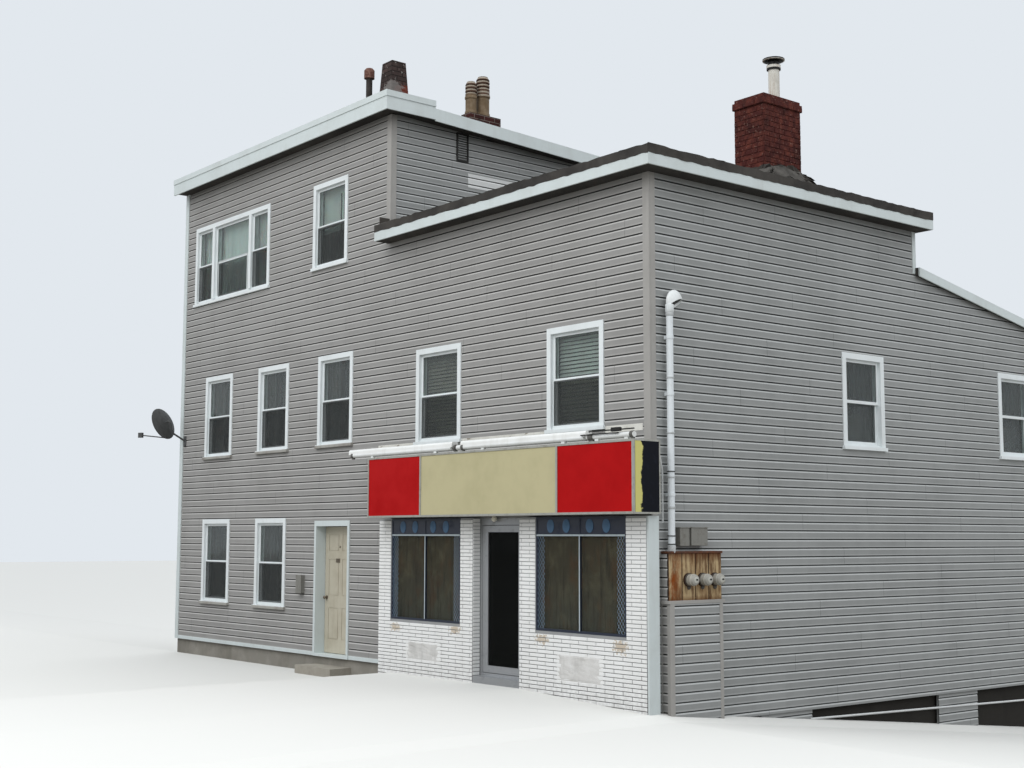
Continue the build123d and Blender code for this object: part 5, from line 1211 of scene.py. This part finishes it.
for hand, (left, right) in zip(("left", "right"), displays):
    middle = (left + right) / 2
    strips = []
    for low, high, rim in ((left + lattice["edge"], left + lattice["strip"], left + lattice["edge"]),
                           (right - lattice["strip"], right - lattice["edge"], right - lattice["edge"])):
        strips += [makeLatticeWires(low, high, lean) for lean in (lattice["lean"], -lattice["lean"])]
        strips.append(addBlock("lattice_rim", (rim - lattice["rim"], faceY + 0.002, displayFoot + 0.02),
                               (rim + lattice["rim"], faceY + 0.014, displayHead - 0.24), 0.001))
    dress(joinAll(strips, "lattice_" + hand), "display_frame_blue", latticeWire)
    bars = [addBlock("bar", (left + 0.02, faceY - 0.006, displayHead - band["barDrop"]),
                     (right - 0.02, faceY + 0.006, displayHead - band["drop"]), 0.003, 2),
            addBlock("bar", (middle - 0.009, faceY - 0.004, displayFoot + 0.03),
                     (middle + 0.009, faceY + 0.006, displayHead - band["drop"]), 0.003, 2)]
    dress(joinAll(bars, "glazing_bars_" + hand), "display_frame_blue", paleBar)
    topBand = addBlock("top_band_" + hand, (left + 0.01, faceY + 0.006, displayHead - band["drop"]),
                       (right - 0.01, faceY + 0.016, displayHead - band["topGap"]), 0.002)
    dress(topBand, "display_frame_blue", bandFilm)
    ovals = []
    for share in band["ovalShares"]:
        oval = addRound("oval", (0, 0, 0), band["ovalWide"], 0.006, "Y", 0.001)
        shift = Vector((left + share * (right - left), faceY + 0.004, displayHead - band["ovalDrop"]))
        for point in oval.data.vertices:
            point.co = Vector((point.co.x, point.co.y, point.co.z * band["ovalTall"])) + shift
        ovals.append(oval)
    dress(joinAll(ovals, "top_band_ovals_" + hand), "display_frame_blue", ovalFilm)
print("stage: display windows")


# cloth behind the panes; drawn facing -Y behind a window, all sizes in metres
hang = {"setBack": 0.158, "side": 0.062, "head": 0.07, "foot": 0.09, "stepsPerFold": 8, "layerGap": 0.012}


def makeCurtain(name, left, right, low, high, folds, depth, material, wall, setBack):
    steps = max(2, folds * hang["stepsPerFold"])
    deselectAll()
    bpy.ops.mesh.primitive_grid_add(
        x_subdivisions=steps, y_subdivisions=6, size=1, location=(0, 0, 0), rotation=(quarterTurn, 0, 0))
    cloth = bpy.context.object
    cloth.name = name
    cloth.scale = (right - left, high - low, 1)
    cloth.location = ((left + right) / 2, setBack, (low + high) / 2)
    settle(cloth)
    for point in cloth.data.vertices:
        share = (point.co.x - left) / (right - left)
        drop = (high - point.co.z) / (high - low)
        wave = math.sin(share * folds * 2 * math.pi + 0.5 * math.sin(share * 9))
        point.co.y += depth * (0.55 + 0.45 * drop) * wave
    makeActive(cloth)
    bpy.ops.object.shade_smooth()
    dress(placeOn(cloth, wall[0], wall[1]), "window_white", material)


sheer = makeCloth("sheer net, greenish white", "#E4EEE8", "#C2CEC8", 0.1)
shade = makeCloth("roller shade, ivory grey", "#CDD2CC", "#AEB3AC")
dim = makeCloth("lined curtain, grey brown", "#3D3C38", "#232220")
slate = makeCloth("lined curtain, slate", "#26282A", "#141516")
screenMesh = makeScreen("insect screen, grey")


blind = {"pitch": 0.052, "slat": 0.046, "thick": 0.003, "tilt": math.radians(62), "headGap": 0.03}


def makeBlind(name, left, right, low, high, material, wall, setBack):
    # one slat, tilted and repeated down the window
    slat = addBlock(
        name, (left, -blind["slat"] / 2, -blind["thick"] / 2),
        (right, blind["slat"] / 2, blind["thick"] / 2), 0.001)
    slat.rotation_euler = (blind["tilt"], 0, 0)
    settle(slat)
    repeatAlong(slat, int((high - low) / blind["pitch"]), (0, 0, -blind["pitch"]))
    for point in slat.data.vertices:
        point.co += Vector((0, setBack, high - blind["headGap"]))
    dress(placeOn(slat, wall[0], wall[1]), "window_white", material)


def fillWindow(name, window, parts, wall=frontWall):
    # parts: (left share, right share, foot share, head share, folds, fold depth, material)
    # a part with no folds is a blind of slats
    mid, foot, width, height = window
    left, right = mid - width / 2 + hang["side"], mid + width / 2 - hang["side"]
    low, high = foot + hang["foot"], foot + height - hang["head"]
    for number, (a, b, c, d, folds, depth, material) in enumerate(parts):
        edges = (
            left + a * (right - left), left + b * (right - left), low + c * (high - low),
            low + d * (high - low))
        partName, setBack = "%s_%d" % (name, number), hang["setBack"] + hang["layerGap"] * (number % 2)
        if folds:
            makeCurtain(partName, *edges, folds, depth, material, wall, setBack)
        else:
            makeBlind(partName, *edges, material, wall, setBack)


slatPale = makePaint("blind slats, ivory grey", "#C6CBC3", "#9A9D96", 0.3, 0.6, 2.0)
slatBrown = makePaint("blind slats, grey brown", "#B3AE9A", "#6E695C", 0.4, 0.6, 2.0)
slatDark = makePaint("blind slats, shaded", "#7C776A", "#4B473F", 0.4, 0.6, 2.0)
frontDressings = [
    ("curtain_triple", 4, [(0.0, 0.235, 0.0, 1.0, 5, 0.014, shade), (0.25, 0.75, 0.0, 1.0, 9, 0.012, sheer),
                           (0.765, 1.0, 0.0, 1.0, 5, 0.014, shade)]),
    ("blind_top_right", 3, [(0.0, 1.0, 0.42, 1.0, 1, 0.002, shade), (0.0, 0.45, 0.0, 0.9, 5, 0.013, dim),
                            (0.5, 1.0, 0.0, 0.9, 5, 0.013, slate)]),
    ("curtain_second_a", 0, [(0.0, 0.42, 0.0, 1.0, 3, 0.016, dim), (0.5, 1.0, 0.0, 1.0, 4, 0.016, slate)]),
    ("curtain_second_b", 1, [(0.0, 0.3, 0.0, 1.0, 3, 0.016, dim), (0.35, 0.95, 0.0, 1.0, 5, 0.016, slate)]),
    ("curtain_second_c", 2, [(0.05, 0.4, 0.0, 1.0, 3, 0.016, dim), (0.5, 1.0, 0.0, 1.0, 4, 0.016, slate)]),
    ("curtain_ground_a", 5, [(0.0, 0.55, 0.0, 1.0, 5, 0.016, slate), (0.6, 1.0, 0.0, 1.0, 3, 0.016, dim)]),
    ("curtain_ground_b", 6, [(0.0, 0.5, 0.0, 1.0, 4, 0.016, slate), (0.55, 1.0, 0.0, 1.0, 4, 0.016, dim)]),
    ("blind_shop_a", 7, [(0.0, 1.0, 0.5, 1.0, 0, 0, slatDark), (0.0, 1.0, 0.0, 0.49, 0, 0, slatBrown)]),
    ("blind_shop_b", 8, [(0.0, 1.0, 0.5, 1.0, 0, 0, slatPale), (0.0, 1.0, 0.0, 0.49, 0, 0, slatBrown)])]
for name, index, parts in frontDressings:
    fillWindow(name, frontWindows[index], parts)
sideParts = [
    (0.0, 0.35, 0.3, 1.0, 3, 0.014, dim), (0.4, 1.0, 0.0, 1.0, 4, 0.016, slate),
    (0.1, 0.7, 0.0, 0.36, 1, 0.002, dim)]
for index, window in enumerate(sideWindows):
    fillWindow("curtain_side_%d" % index, window, sideParts, sideWall)
for index, window in enumerate(mirrored):
    parts = [(0.0, 1.0, 0.3 if index % 2 else 0.0, 1.0, 0, 0, slatPale)]
    fillWindow("blind_rear_%d" % index, window, parts, rearWall)

# half screens over the lower sashes of the front, in thin frames; the wide window has one for each light
screenSize = {"side": 0.083, "face": 0.016, "depth": 0.008, "set": 0.006, "overlap": 0.01, "lap": 0.012}
screens = [
    (index, frontWindows[index][0], frontWindows[index][2], *frontWindows[index][1::2])
    for index in (0, 1, 2, 3, 5, 6, 7, 8)]
screens += [(10, -6.05, 0.81, 7.425, 1.51), (11, -5.03, 1.28, 7.425, 1.51), (12, -4.01, 0.81, 7.425, 1.51)]
for index, mid, width, foot, height in screens:
    left, right = mid - width / 2 + screenSize["side"], mid + width / 2 - screenSize["side"]
    low, high = foot + screenSize["side"], foot + height / 2 + screenSize["overlap"]
    y, lap = frontY + screenSize["set"], screenSize["lap"]
    ring = addRing(
        "screen_frame_%d" % index, left, right, low, high, y, screenSize["face"], screenSize["depth"])
    dress(ring, "window_white")
    mesh = addBlock(
        "screen_mesh_%d" % index, (left + lap, y + 0.003, low + lap),
        (right - lap, y + 0.004, high - lap))
    cutUp(mesh, 2)
    dress(mesh, "window_pane", screenMesh)
print("stage: window dressings")


# the sign: a blank enamelled end with its trim, the lamps' sockets and reflectors, and one lamp's bare rails
signLow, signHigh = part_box("sign_box")
endPanel = addBlock("sign_end_panel", (signHigh.x + 0.0005, signLow.y + 0.03, signLow.z + 0.02),
                    (signHigh.x + 0.005, signHigh.y - 0.012, signHigh.z - 0.02), 0.0015)
dress(endPanel, "sign_face", makeSignEnd("enamelled sheet, navy over old yellow"))
endTrim = addRing("sign_end_trim", 0, 0.45, 0, signHigh.z - signLow.z, 0, 0.022, 0.006)
placeOn(endTrim, (signHigh.x + 0.007, signLow.y, signLow.z), quarterTurn)
dress(endTrim, "sign_aluminium")

signLamp = {
    "ahead": 0.045, "above": 0.056, "socketRadius": 0.043, "socketLength": 0.05, "footHalf": 0.02,
    "sockets": (-0.235, 2.355, 2.53, 5.12, 5.16, 5.86), "covers": ((-0.32, 2.3), (2.5, 5.06)),
    "coverBend": 0.034}
lampY, lampZ = signLow.y + signLamp["ahead"], signHigh.z + signLamp["above"]
sockets = []
for x in signLamp["sockets"]:
    half = signLamp["footHalf"]
    sockets.append(
        addRound(
            "socket", (x, lampY, lampZ), signLamp["socketRadius"], signLamp["socketLength"], "X", 0.004,
            16))
    sockets.append(
        addBlock(
            "socket_foot", (x - half, lampY - 0.022, signHigh.z), (x + half, lampY + 0.022, lampZ), 0.004))
socketSteel = makeMetal("lamp socket, sooty", "#5C5B57", "#3A342E", "#24201D", 0.5, 0.5, 0.5)
dress(joinAll(sockets, "lamp_sockets"), "lamp_housing", socketSteel)
reflectors = []
for low, high in signLamp["covers"]:
    cover = addBlock("reflector", (low, lampY - 0.03, lampZ + 0.012), (high, lampY + 0.075, lampZ + 0.088))
    openForEdit(cover)
    pickEdges(cover, lambda a, b: max(a.y, b.y) < lampY and min(a.z, b.z) > lampZ + 0.05)
    bpy.ops.mesh.bevel(offset=signLamp["coverBend"], segments=4, affect="EDGES")
    closeEdit()
    reflectors.append(cover)
reflectorEnamel = makePaint("stove-enamelled reflector, white", "#EEF0EE", "#A7A297", 0.3, 0.35)
dress(joinAll(reflectors, "lamp_reflectors"), "lamp_housing", reflectorEnamel)
brokenParts = [
    addBlock("rail", (4.98, lampY - 0.05, lampZ + 0.02), (5.66, lampY - 0.038, lampZ + 0.034), 0.002),
    addBlock("rail", (5.1, lampY - 0.02, lampZ + 0.06), (5.9, lampY - 0.006, lampZ + 0.076), 0.002),
    addBlock("starter", (5.52, lampY - 0.045, lampZ + 0.045), (5.68, lampY - 0.005, lampZ + 0.095), 0.008, 2)]
burntChannel = makePaint("burnt lamp wiring channel, black", "#1D1C1B", "#3A3632", 0.4, 0.6)
dress(joinAll(brokenParts, "broken_lamp_rails"), "lamp_housing", burntChannel)
print("stage: sign")


# the meter board: four sawn boards with a row of nails, a flashing strip above and a pale ledge below
boards = {
    "x": cornerX + 0.13, "thick": 0.007, "left": -5.05, "right": -4.115, "low": 2.34, "high": 2.92,
    "count": 4, "gap": 0.016, "nails": 11, "nailPitch": 0.085}
step = (boards["right"] - boards["left"]) / boards["count"]
boardFace = boards["x"] + boards["thick"]
planks = []
for number in range(boards["count"]):
    left = boards["left"] + number * step + boards["gap"] / 2
    planks.append(
        addBlock(
            "plank", (boards["x"], left, boards["low"]),
            (boardFace, left + step - boards["gap"], boards["high"]), 0.002))
for number in range(boards["nails"]):
    middle = (boardFace + 0.001, boards["left"] + 0.04 + number * boards["nailPitch"], boards["low"] + 0.03)
    planks.append(addRound("nail", middle, 0.007, 0.004, "X", 0.001, 8))
dress(joinAll(planks, "meter_planks"), "meter_panel_steel")
flashing = addBlock("meter_board_flashing", (cornerX + 0.02, boards["left"] - 0.012, boards["high"] - 0.012),
                    (boards["x"] + 0.018, boards["right"] + 0.012, boards["high"] + 0.016), 0.003)
dress(
    flashing, "meter_panel_steel",
    makeMetal("rusted flashing strip", "#4B2A16", "#6E3A18", "#22130A", 0.6, 0.45, 0.75))
ledge = addBlock("meter_board_ledge", (cornerX + 0.02, boards["left"] - 0.03, boards["low"] - 0.036),
                 (boards["x"] + 0.045, boards["right"] + 0.02, boards["low"] + 0.004), 0.004, 2)
dress(ledge, "side_clapboard", cornerVinyl)

# the meters: a dark clamp ring, a dark disc under it that is rust stain and painted shadow, a bright lip, a
# blank face plate with a slot
meter = {"places": (-4.716, -4.473, -4.253), "height": 2.59, "clamp": 0.078, "lip": 0.0725, "plate": 0.038,
         "clampOut": 0.034, "lipOut": 0.105, "plateOut": 0.147}
rings, faces, slots = [], [], []
for y in meter["places"]:
    z = meter["height"]
    rings.append(
        addRound("clamp", (boards["x"] + meter["clampOut"], y, z), meter["clamp"], 0.022, "X", 0.003, 28))
    # the dark disc on the board below each meter is a rust stain with painted shadow
    rings.append(addRound("stain", (boards["x"] + 0.012, y + 0.01, 2.5), 0.03, 0.012, "X", 0.002, 16))
    faces.append(addRound("lip", (boards["x"] + meter["lipOut"], y, z), meter["lip"], 0.014, "X", 0.003, 28))
    faces.append(
        addRound("plate", (boards["x"] + meter["plateOut"], y, z), meter["plate"], 0.004, "X", 0.001, 24))
    slots.append(
        addBlock(
            "slot", (boards["x"] + 0.148, y - 0.006, 2.583), (boards["x"] + 0.151, y + 0.03, 2.603),
            0.001))
clampSteel = makeMetal("meter clamp, dark", "#4B4741", "#2E2A26", "#1C1916", 0.5, 0.5, 0.5)
dress(joinAll(rings, "meter_clamps"), "meter_panel_steel", clampSteel)
dress(
    joinAll(faces, "meter_faces"), "meter_glass",
    makePaint("meter face, chalk white", "#BDBDB4", "#85837A", 0.35, 0.35))
dress(
    joinAll(slots, "meter_slots"), "meter_panel_steel",
    makePaint("meter slot, black", "#1B1B1B", "#2E2D2B", 0.3, 0.4))

# the enclosure under them, clad like the walls, with its own corner trims; its foot slopes
boxLow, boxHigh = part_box("meter_enclosure")
enclosure = {"footRise": 0.104, "footFall": 0.104 / 0.89, "proud": 0.024}
cladTop = boards["low"] - 0.03
cladFoot = boxLow.z + enclosure["footRise"]
hangSiding(
    "siding_enclosure", boxLow.y + 0.05, boxHigh.y - 0.04, 0.8, cladTop, ((boxHigh.x, 0, 0), quarterTurn),
    slopes=[((boxLow.y, 0, cladFoot), (-enclosure["footFall"], 0, -1))])
hangSiding(
    "siding_enclosure_cheek", cornerX + 0.02, boxHigh.x - 0.03, cladFoot, cladTop, ((0, boxLow.y, 0), 0),
    "house_clapboard")
trimFront = boxHigh.x + enclosure["proud"]
trims = [
    addBlock(
        "trim", (boxHigh.x - 0.036, boxLow.y - 0.024, boxLow.z + 0.09),
        (trimFront, boxLow.y + 0.05, cladTop), 0.004, 2),
    addBlock(
        "trim", (cornerX + 0.001, boxLow.y - 0.022, cladFoot), (cornerX + 0.028, boxLow.y, cladTop),
        0.004, 2),
    addBlock(
        "trim", (boxHigh.x - 0.02, boxHigh.y - 0.045, boxLow.z), (trimFront, boxHigh.y + 0.012, cladTop),
        0.004, 2)]
dress(joinAll(trims, "enclosure_trims"), "side_clapboard", cornerVinyl)
hangSiding(
    "siding_meter_cheek", cornerX + 0.02, boards["x"], boards["low"], boards["high"] - 0.02,
    ((0, boards["left"], 0), 0), "house_clapboard")

# lids of the two steel boxes and of the small box on the front, with folded rims and a shadow gap
steelBoxes = [
    ((cornerX + 0.09, -4.8, 3.005), (cornerX + 0.1, -4.65, 3.215)),
    ((cornerX + 0.11, -4.62, 3.01), (cornerX + 0.12, -4.35, 3.217))]
frontBox = {"left": -2.41, "right": -2.25, "low": 2.182, "high": 2.472, "proud": 0.08, "rim": 0.006}
lids = []
for low, high in steelBoxes:
    lids.append(
        addBlock(
            "lid", (low[0] + 0.002, low[1] - 0.008, low[2] - 0.008),
            (high[0] + 0.004, high[1] + 0.008, high[2] + 0.008), 0.005, 2))
    lids.append(
        addBlock(
            "lip", (cornerX + 0.02, low[1] - 0.012, high[2] + 0.002),
            (high[0] + 0.014, high[1] + 0.012, high[2] + 0.012), 0.003, 1))
boxFace, rim = frontY - frontBox["proud"], frontBox["rim"]
lids.append(addBlock("lid", (frontBox["left"] - rim, boxFace - 0.012, frontBox["low"] - rim),
                     (frontBox["right"] + rim, boxFace - 0.001, frontBox["high"] + rim), 0.005, 2))
dress(joinAll(lids, "service_box_lids"), "service_box_grey")

# the weather hood on the mast: a dome cut off by its slanted mouth, with a dark shell set back inside it as
# painted shade
mastX, mastY = cornerX + 0.1, frontY + 0.248
hoodLow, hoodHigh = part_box("weather_hood")
hood = {
    "mouth": (0.62, 0.3, -0.72), "mouthAt": 0.05, "wall": 0.005, "throat": 0.02, "throatIn": 0.012,
    "rise": 0.16}
hoodShells = (("weather_hood_dome", 0.0, 0.0), ("weather_hood_throat", hood["throatIn"], hood["throat"]))
shells = []
for name, shrink, lift in hoodShells:
    deselectAll()
    middle = Vector(((hoodLow.x + hoodHigh.x) / 2, (hoodLow.y + hoodHigh.y) / 2, hoodHigh.z - hood["rise"]))
    bpy.ops.mesh.primitive_uv_sphere_add(segments=28, ring_count=18, radius=1, location=middle)
    shell = bpy.context.object
    shell.name = name
    shell.scale = (
        (hoodHigh.x - hoodLow.x) / 2 - shrink, (hoodHigh.y - hoodLow.y) / 2 - shrink,
        hood["rise"] - shrink)
    settle(shell)
    rim = Vector((middle.x, hoodLow.y, hoodLow.z + hood["mouthAt"])) - Vector(hood["mouth"]) * lift
    openForEdit(shell)
    bpy.ops.mesh.bisect(plane_co=rim, plane_no=hood["mouth"], clear_outer=True, use_fill=bool(lift))
    closeEdit()
    shells.append(shell)
applyModifier(shells[0], "SOLIDIFY", {"thickness": hood["wall"], "offset": -1.0})
smoothBelow(shells[0])
dress(shells[0], "grey_cast_hood")
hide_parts("weather_hood")
# the inner shell is dark: painted shade inside the hood's mouth
dress(shells[1], "grey_cast_hood", makePaint("hood throat, dark as painted shade", "#3A3B3B", "#232323", 0.5, 0.7))
collar = addRound("weather_hood_collar", (mastX, mastY, hoodLow.z + 0.05), 0.053, 0.1, "Z", 0.006, 24)
dress(collar, "grey_cast_hood", makePaint("hood collar, painted white", "#D9DEDF", "#908D85", 0.35))

# couplings and rubber ties along the white mast: (height, length)
mast = {"couplings": ((2.96, 0.09), (3.46, 0.03), (3.83, 0.022), (4.37, 0.022), (5.05, 0.022), (5.84, 0.05)),
        "couplingRadius": 0.0495, "ties": (3.02, 3.12, 3.9), "tieRadius": 0.051}
couplings = [
    addRound("coupling", (mastX, mastY, z), mast["couplingRadius"], rise, "Z", 0.004, 20)
    for z, rise in mast["couplings"]]
couplingSteel = makeMetal("conduit coupling, grey", "#B9BDBE", "#7E7B74", "#4A4640", 0.4, 0.5, 0.45)
dress(joinAll(couplings, "mast_couplings"), "galvanised_steel", couplingSteel)
ties = [addRound("tie", (mastX, mastY, z), mast["tieRadius"], 0.012, "Z", 0.002, 20) for z in mast["ties"]]
dress(
    joinAll(ties, "mast_ties"), "galvanised_steel",
    makePaint("rubber tie, black", "#232323", "#3A3937", 0.3, 0.6))
print("stage: meters")


# siding hung below the side wall, over the two skirt panels: (distance from the front, length, drop)
skirts = {
    "x": cornerX - 0.023, "top": 0.86, "foot": 0.85,
    "panels": ((1.95, 1.01, 0.266), (5.815, 0.985, 0.53))}
for number, (along, length, drop) in enumerate(skirts["panels"]):
    near = frontY + along
    hangSiding(
        "siding_skirt_%d" % number, near, near + length, skirts["foot"] - drop, skirts["top"],
        ((skirts["x"], 0, 0), quarterTurn))

# a lighter, newer length of siding on the upper side wall
# its last two colours are the painted highlight on the slopes and the seams' tone that also paints the shadow
# under the laps
newSiding = makeSiding(
    "newer vinyl siding, pale", "#D2D4D3", "#DCDDDC", "#A6A8A7", "#E4E6E5", "#4A4B4B", 1, 0.2)
repair = makeSidingSheet("siding_repair", -3.71, -2.6, 8.74, 8.97)
dress(placeOn(repair, (divideX + 0.004, 0, 0), quarterTurn), "side_clapboard", newSiding)

# a loose rim of felt along the shop roof's front and side edges, wavy along its length
felt = {"low": 7.748, "high": 7.86, "cuts": 60, "sagMost": 0.012, "liftMost": 0.008}
dice = random.Random(9)
feltRims = (
    ((0.1, frontY - 0.305), (cornerX + 0.3, frontY - 0.29), 0),
    ((cornerX + 0.29, frontY - 0.3), (cornerX + 0.306, shopRearY + 0.08), 1))
edges = []
for low, high, along in feltRims:
    rim = addBlock("felt", (*low, felt["low"]), (*high, felt["high"]))
    openForEdit(rim)
    pickEdges(rim, lambda a, b: abs(a[along] - b[along]) > 1.0)
    bpy.ops.mesh.subdivide(number_cuts=felt["cuts"])
    closeEdit()
    for point in rim.data.vertices:
        point.co.z += dice.uniform(-felt["sagMost"], felt["liftMost"])
    edges.append(rim)
dress(joinAll(edges, "roof_edge_felt"), "roofing_felt")
print("stage: side and roofs")


# pale studio floor: level along the front with a low rise at the brick bays, falling along the side
floorForm = {
    "rise": [
        (-200.0, -0.01), (-0.95, -0.01), (0.1, 0.12), (0.45, 0.17), (3.5, 0.178), (5.83, 0.07),
        (6.2, 0.0), (200.0, 0.0)],
    "fall": 0.1025, "deepest": 0.93, "reach": 150.0, "cells": 160, "middleX": 3.0, "evenPart": 0.06}


def floorHeight(x, y):
    for (a, low), (b, high) in zip(floorForm["rise"], floorForm["rise"][1:]):
        if a <= x <= b:
            front = low + (high - low) * (x - a) / (b - a)
            break
    return frontFootZ + max(-floorForm["deepest"], front - floorForm["fall"] * max(0.0, y - frontY))


deselectAll()
bpy.ops.mesh.primitive_grid_add(
    x_subdivisions=floorForm["cells"], y_subdivisions=floorForm["cells"], size=2, location=(0, 0, 0))
floor = bpy.context.object
floor.name = "pale_floor"
for point in floor.data.vertices:
    # cells grow with the cube of their distance, so that the floor is finest by the walls
    even = floorForm["evenPart"]
    x, y = [floorForm["reach"] * (v ** 3 + even * v) / (1 + even) for v in point.co.xy]
    x, y = x + floorForm["middleX"], y + frontY
    point.co = Vector((x, y, floorHeight(x, y)))
material, tree, shader, place = newFinish("pale floor", {"Roughness": 0.9})
path = addNode(tree, "LightPath")
mix = addNode(
    tree, "Mix", {"data_type": "RGBA", 6: hexColour("#8F8C86"), 7: hexColour("#DADAD6")},
    {0: path.outputs["Is Camera Ray"]})
tree.links.new(mix.outputs[2], shader.inputs["Base Color"])
floor.data.materials.append(material)

# overcast sky: brighter overhead than at the horizon for the light it gives, flat and pale where it is seen
world = bpy.data.worlds.new("overcast")
bpy.context.scene.world = world
world.use_nodes = True
sky = world.node_tree
backdrop = sky.nodes["Background"]
path = addNode(sky, "LightPath")
seen = addNode(
    sky, "Math", {"operation": "MAXIMUM"},
    {0: path.outputs["Is Camera Ray"], 1: path.outputs["Is Glossy Ray"]})
seen = addNode(
    sky, "Math", {"operation": "MAXIMUM"}, {0: seen.outputs[0], 1: path.outputs["Is Transmission Ray"]})
aim = addNode(sky, "SeparateXYZ", None, {0: addNode(sky, "TexCoord").outputs["Generated"]})
height = addNode(
    sky, "MapRange", {"From Min": 0.0, "From Max": 1.0, "To Min": 0.6, "To Max": 1.35},
    {"Value": aim.outputs[2]})
dome = addNode(sky, "VectorMath", {"operation": "SCALE", 0: (0.97, 1.0, 1.04)}, {"Scale": height.outputs[0]})
skyTone = addNode(
    sky, "Mix", {"data_type": "RGBA", 7: hexColour("#E2E8EE")}, {0: seen.outputs[0], 6: dome.outputs[0]})
sky.links.new(skyTone.outputs[2], backdrop.inputs["Color"])

# two large soft lamps: (name, place, aim, size in metres, power in watts)
lamps = [
    ("soft sky", (6.0, -26.0, 24.0), (0.0, 0.0, 4.0), 22.0, 3900.0),
    ("side fill", (26.0, 4.0, 16.0), (2.0, 0.0, 4.0), 14.0, 850.0)]
for name, place, aim, size, power in lamps:
    light = bpy.data.lights.new(name, "AREA")
    light.shape = "SQUARE"
    light.size = size
    light.energy = power
    lamp = bpy.data.objects.new(name, light)
    bpy.context.scene.collection.objects.link(lamp)
    lamp.location = place
    lamp.rotation_euler = (Vector(aim) - Vector(place)).to_track_quat("-Z", "Y").to_euler()

# the camera stands where the photograph was taken from; angles in radians, lens in millimetres
view = {
    "place": (17.949, -17.319, 3.1085), "yaw": 0.886737525, "pitch": 0.107684898, "roll": 0.00217842,
    "lens": 49.605}
lens = bpy.data.cameras.new("corner view")
lens.lens = view["lens"]
lens.sensor_width = 36.0
lens.clip_end = 500.0
camera = bpy.data.objects.new("corner view", lens)
bpy.context.scene.collection.objects.link(camera)
turn = Matrix.Rotation(view["yaw"], 4, "Z") @ Matrix.Rotation(
    math.pi / 2 + view["pitch"], 4, "X") @ Matrix.Rotation(view["roll"], 4, "Z")
camera.matrix_world = Matrix.Translation(view["place"]) @ turn
bpy.context.scene.camera = camera
bpy.context.scene.view_settings.view_transform = "Standard"
print("stage: light and camera")
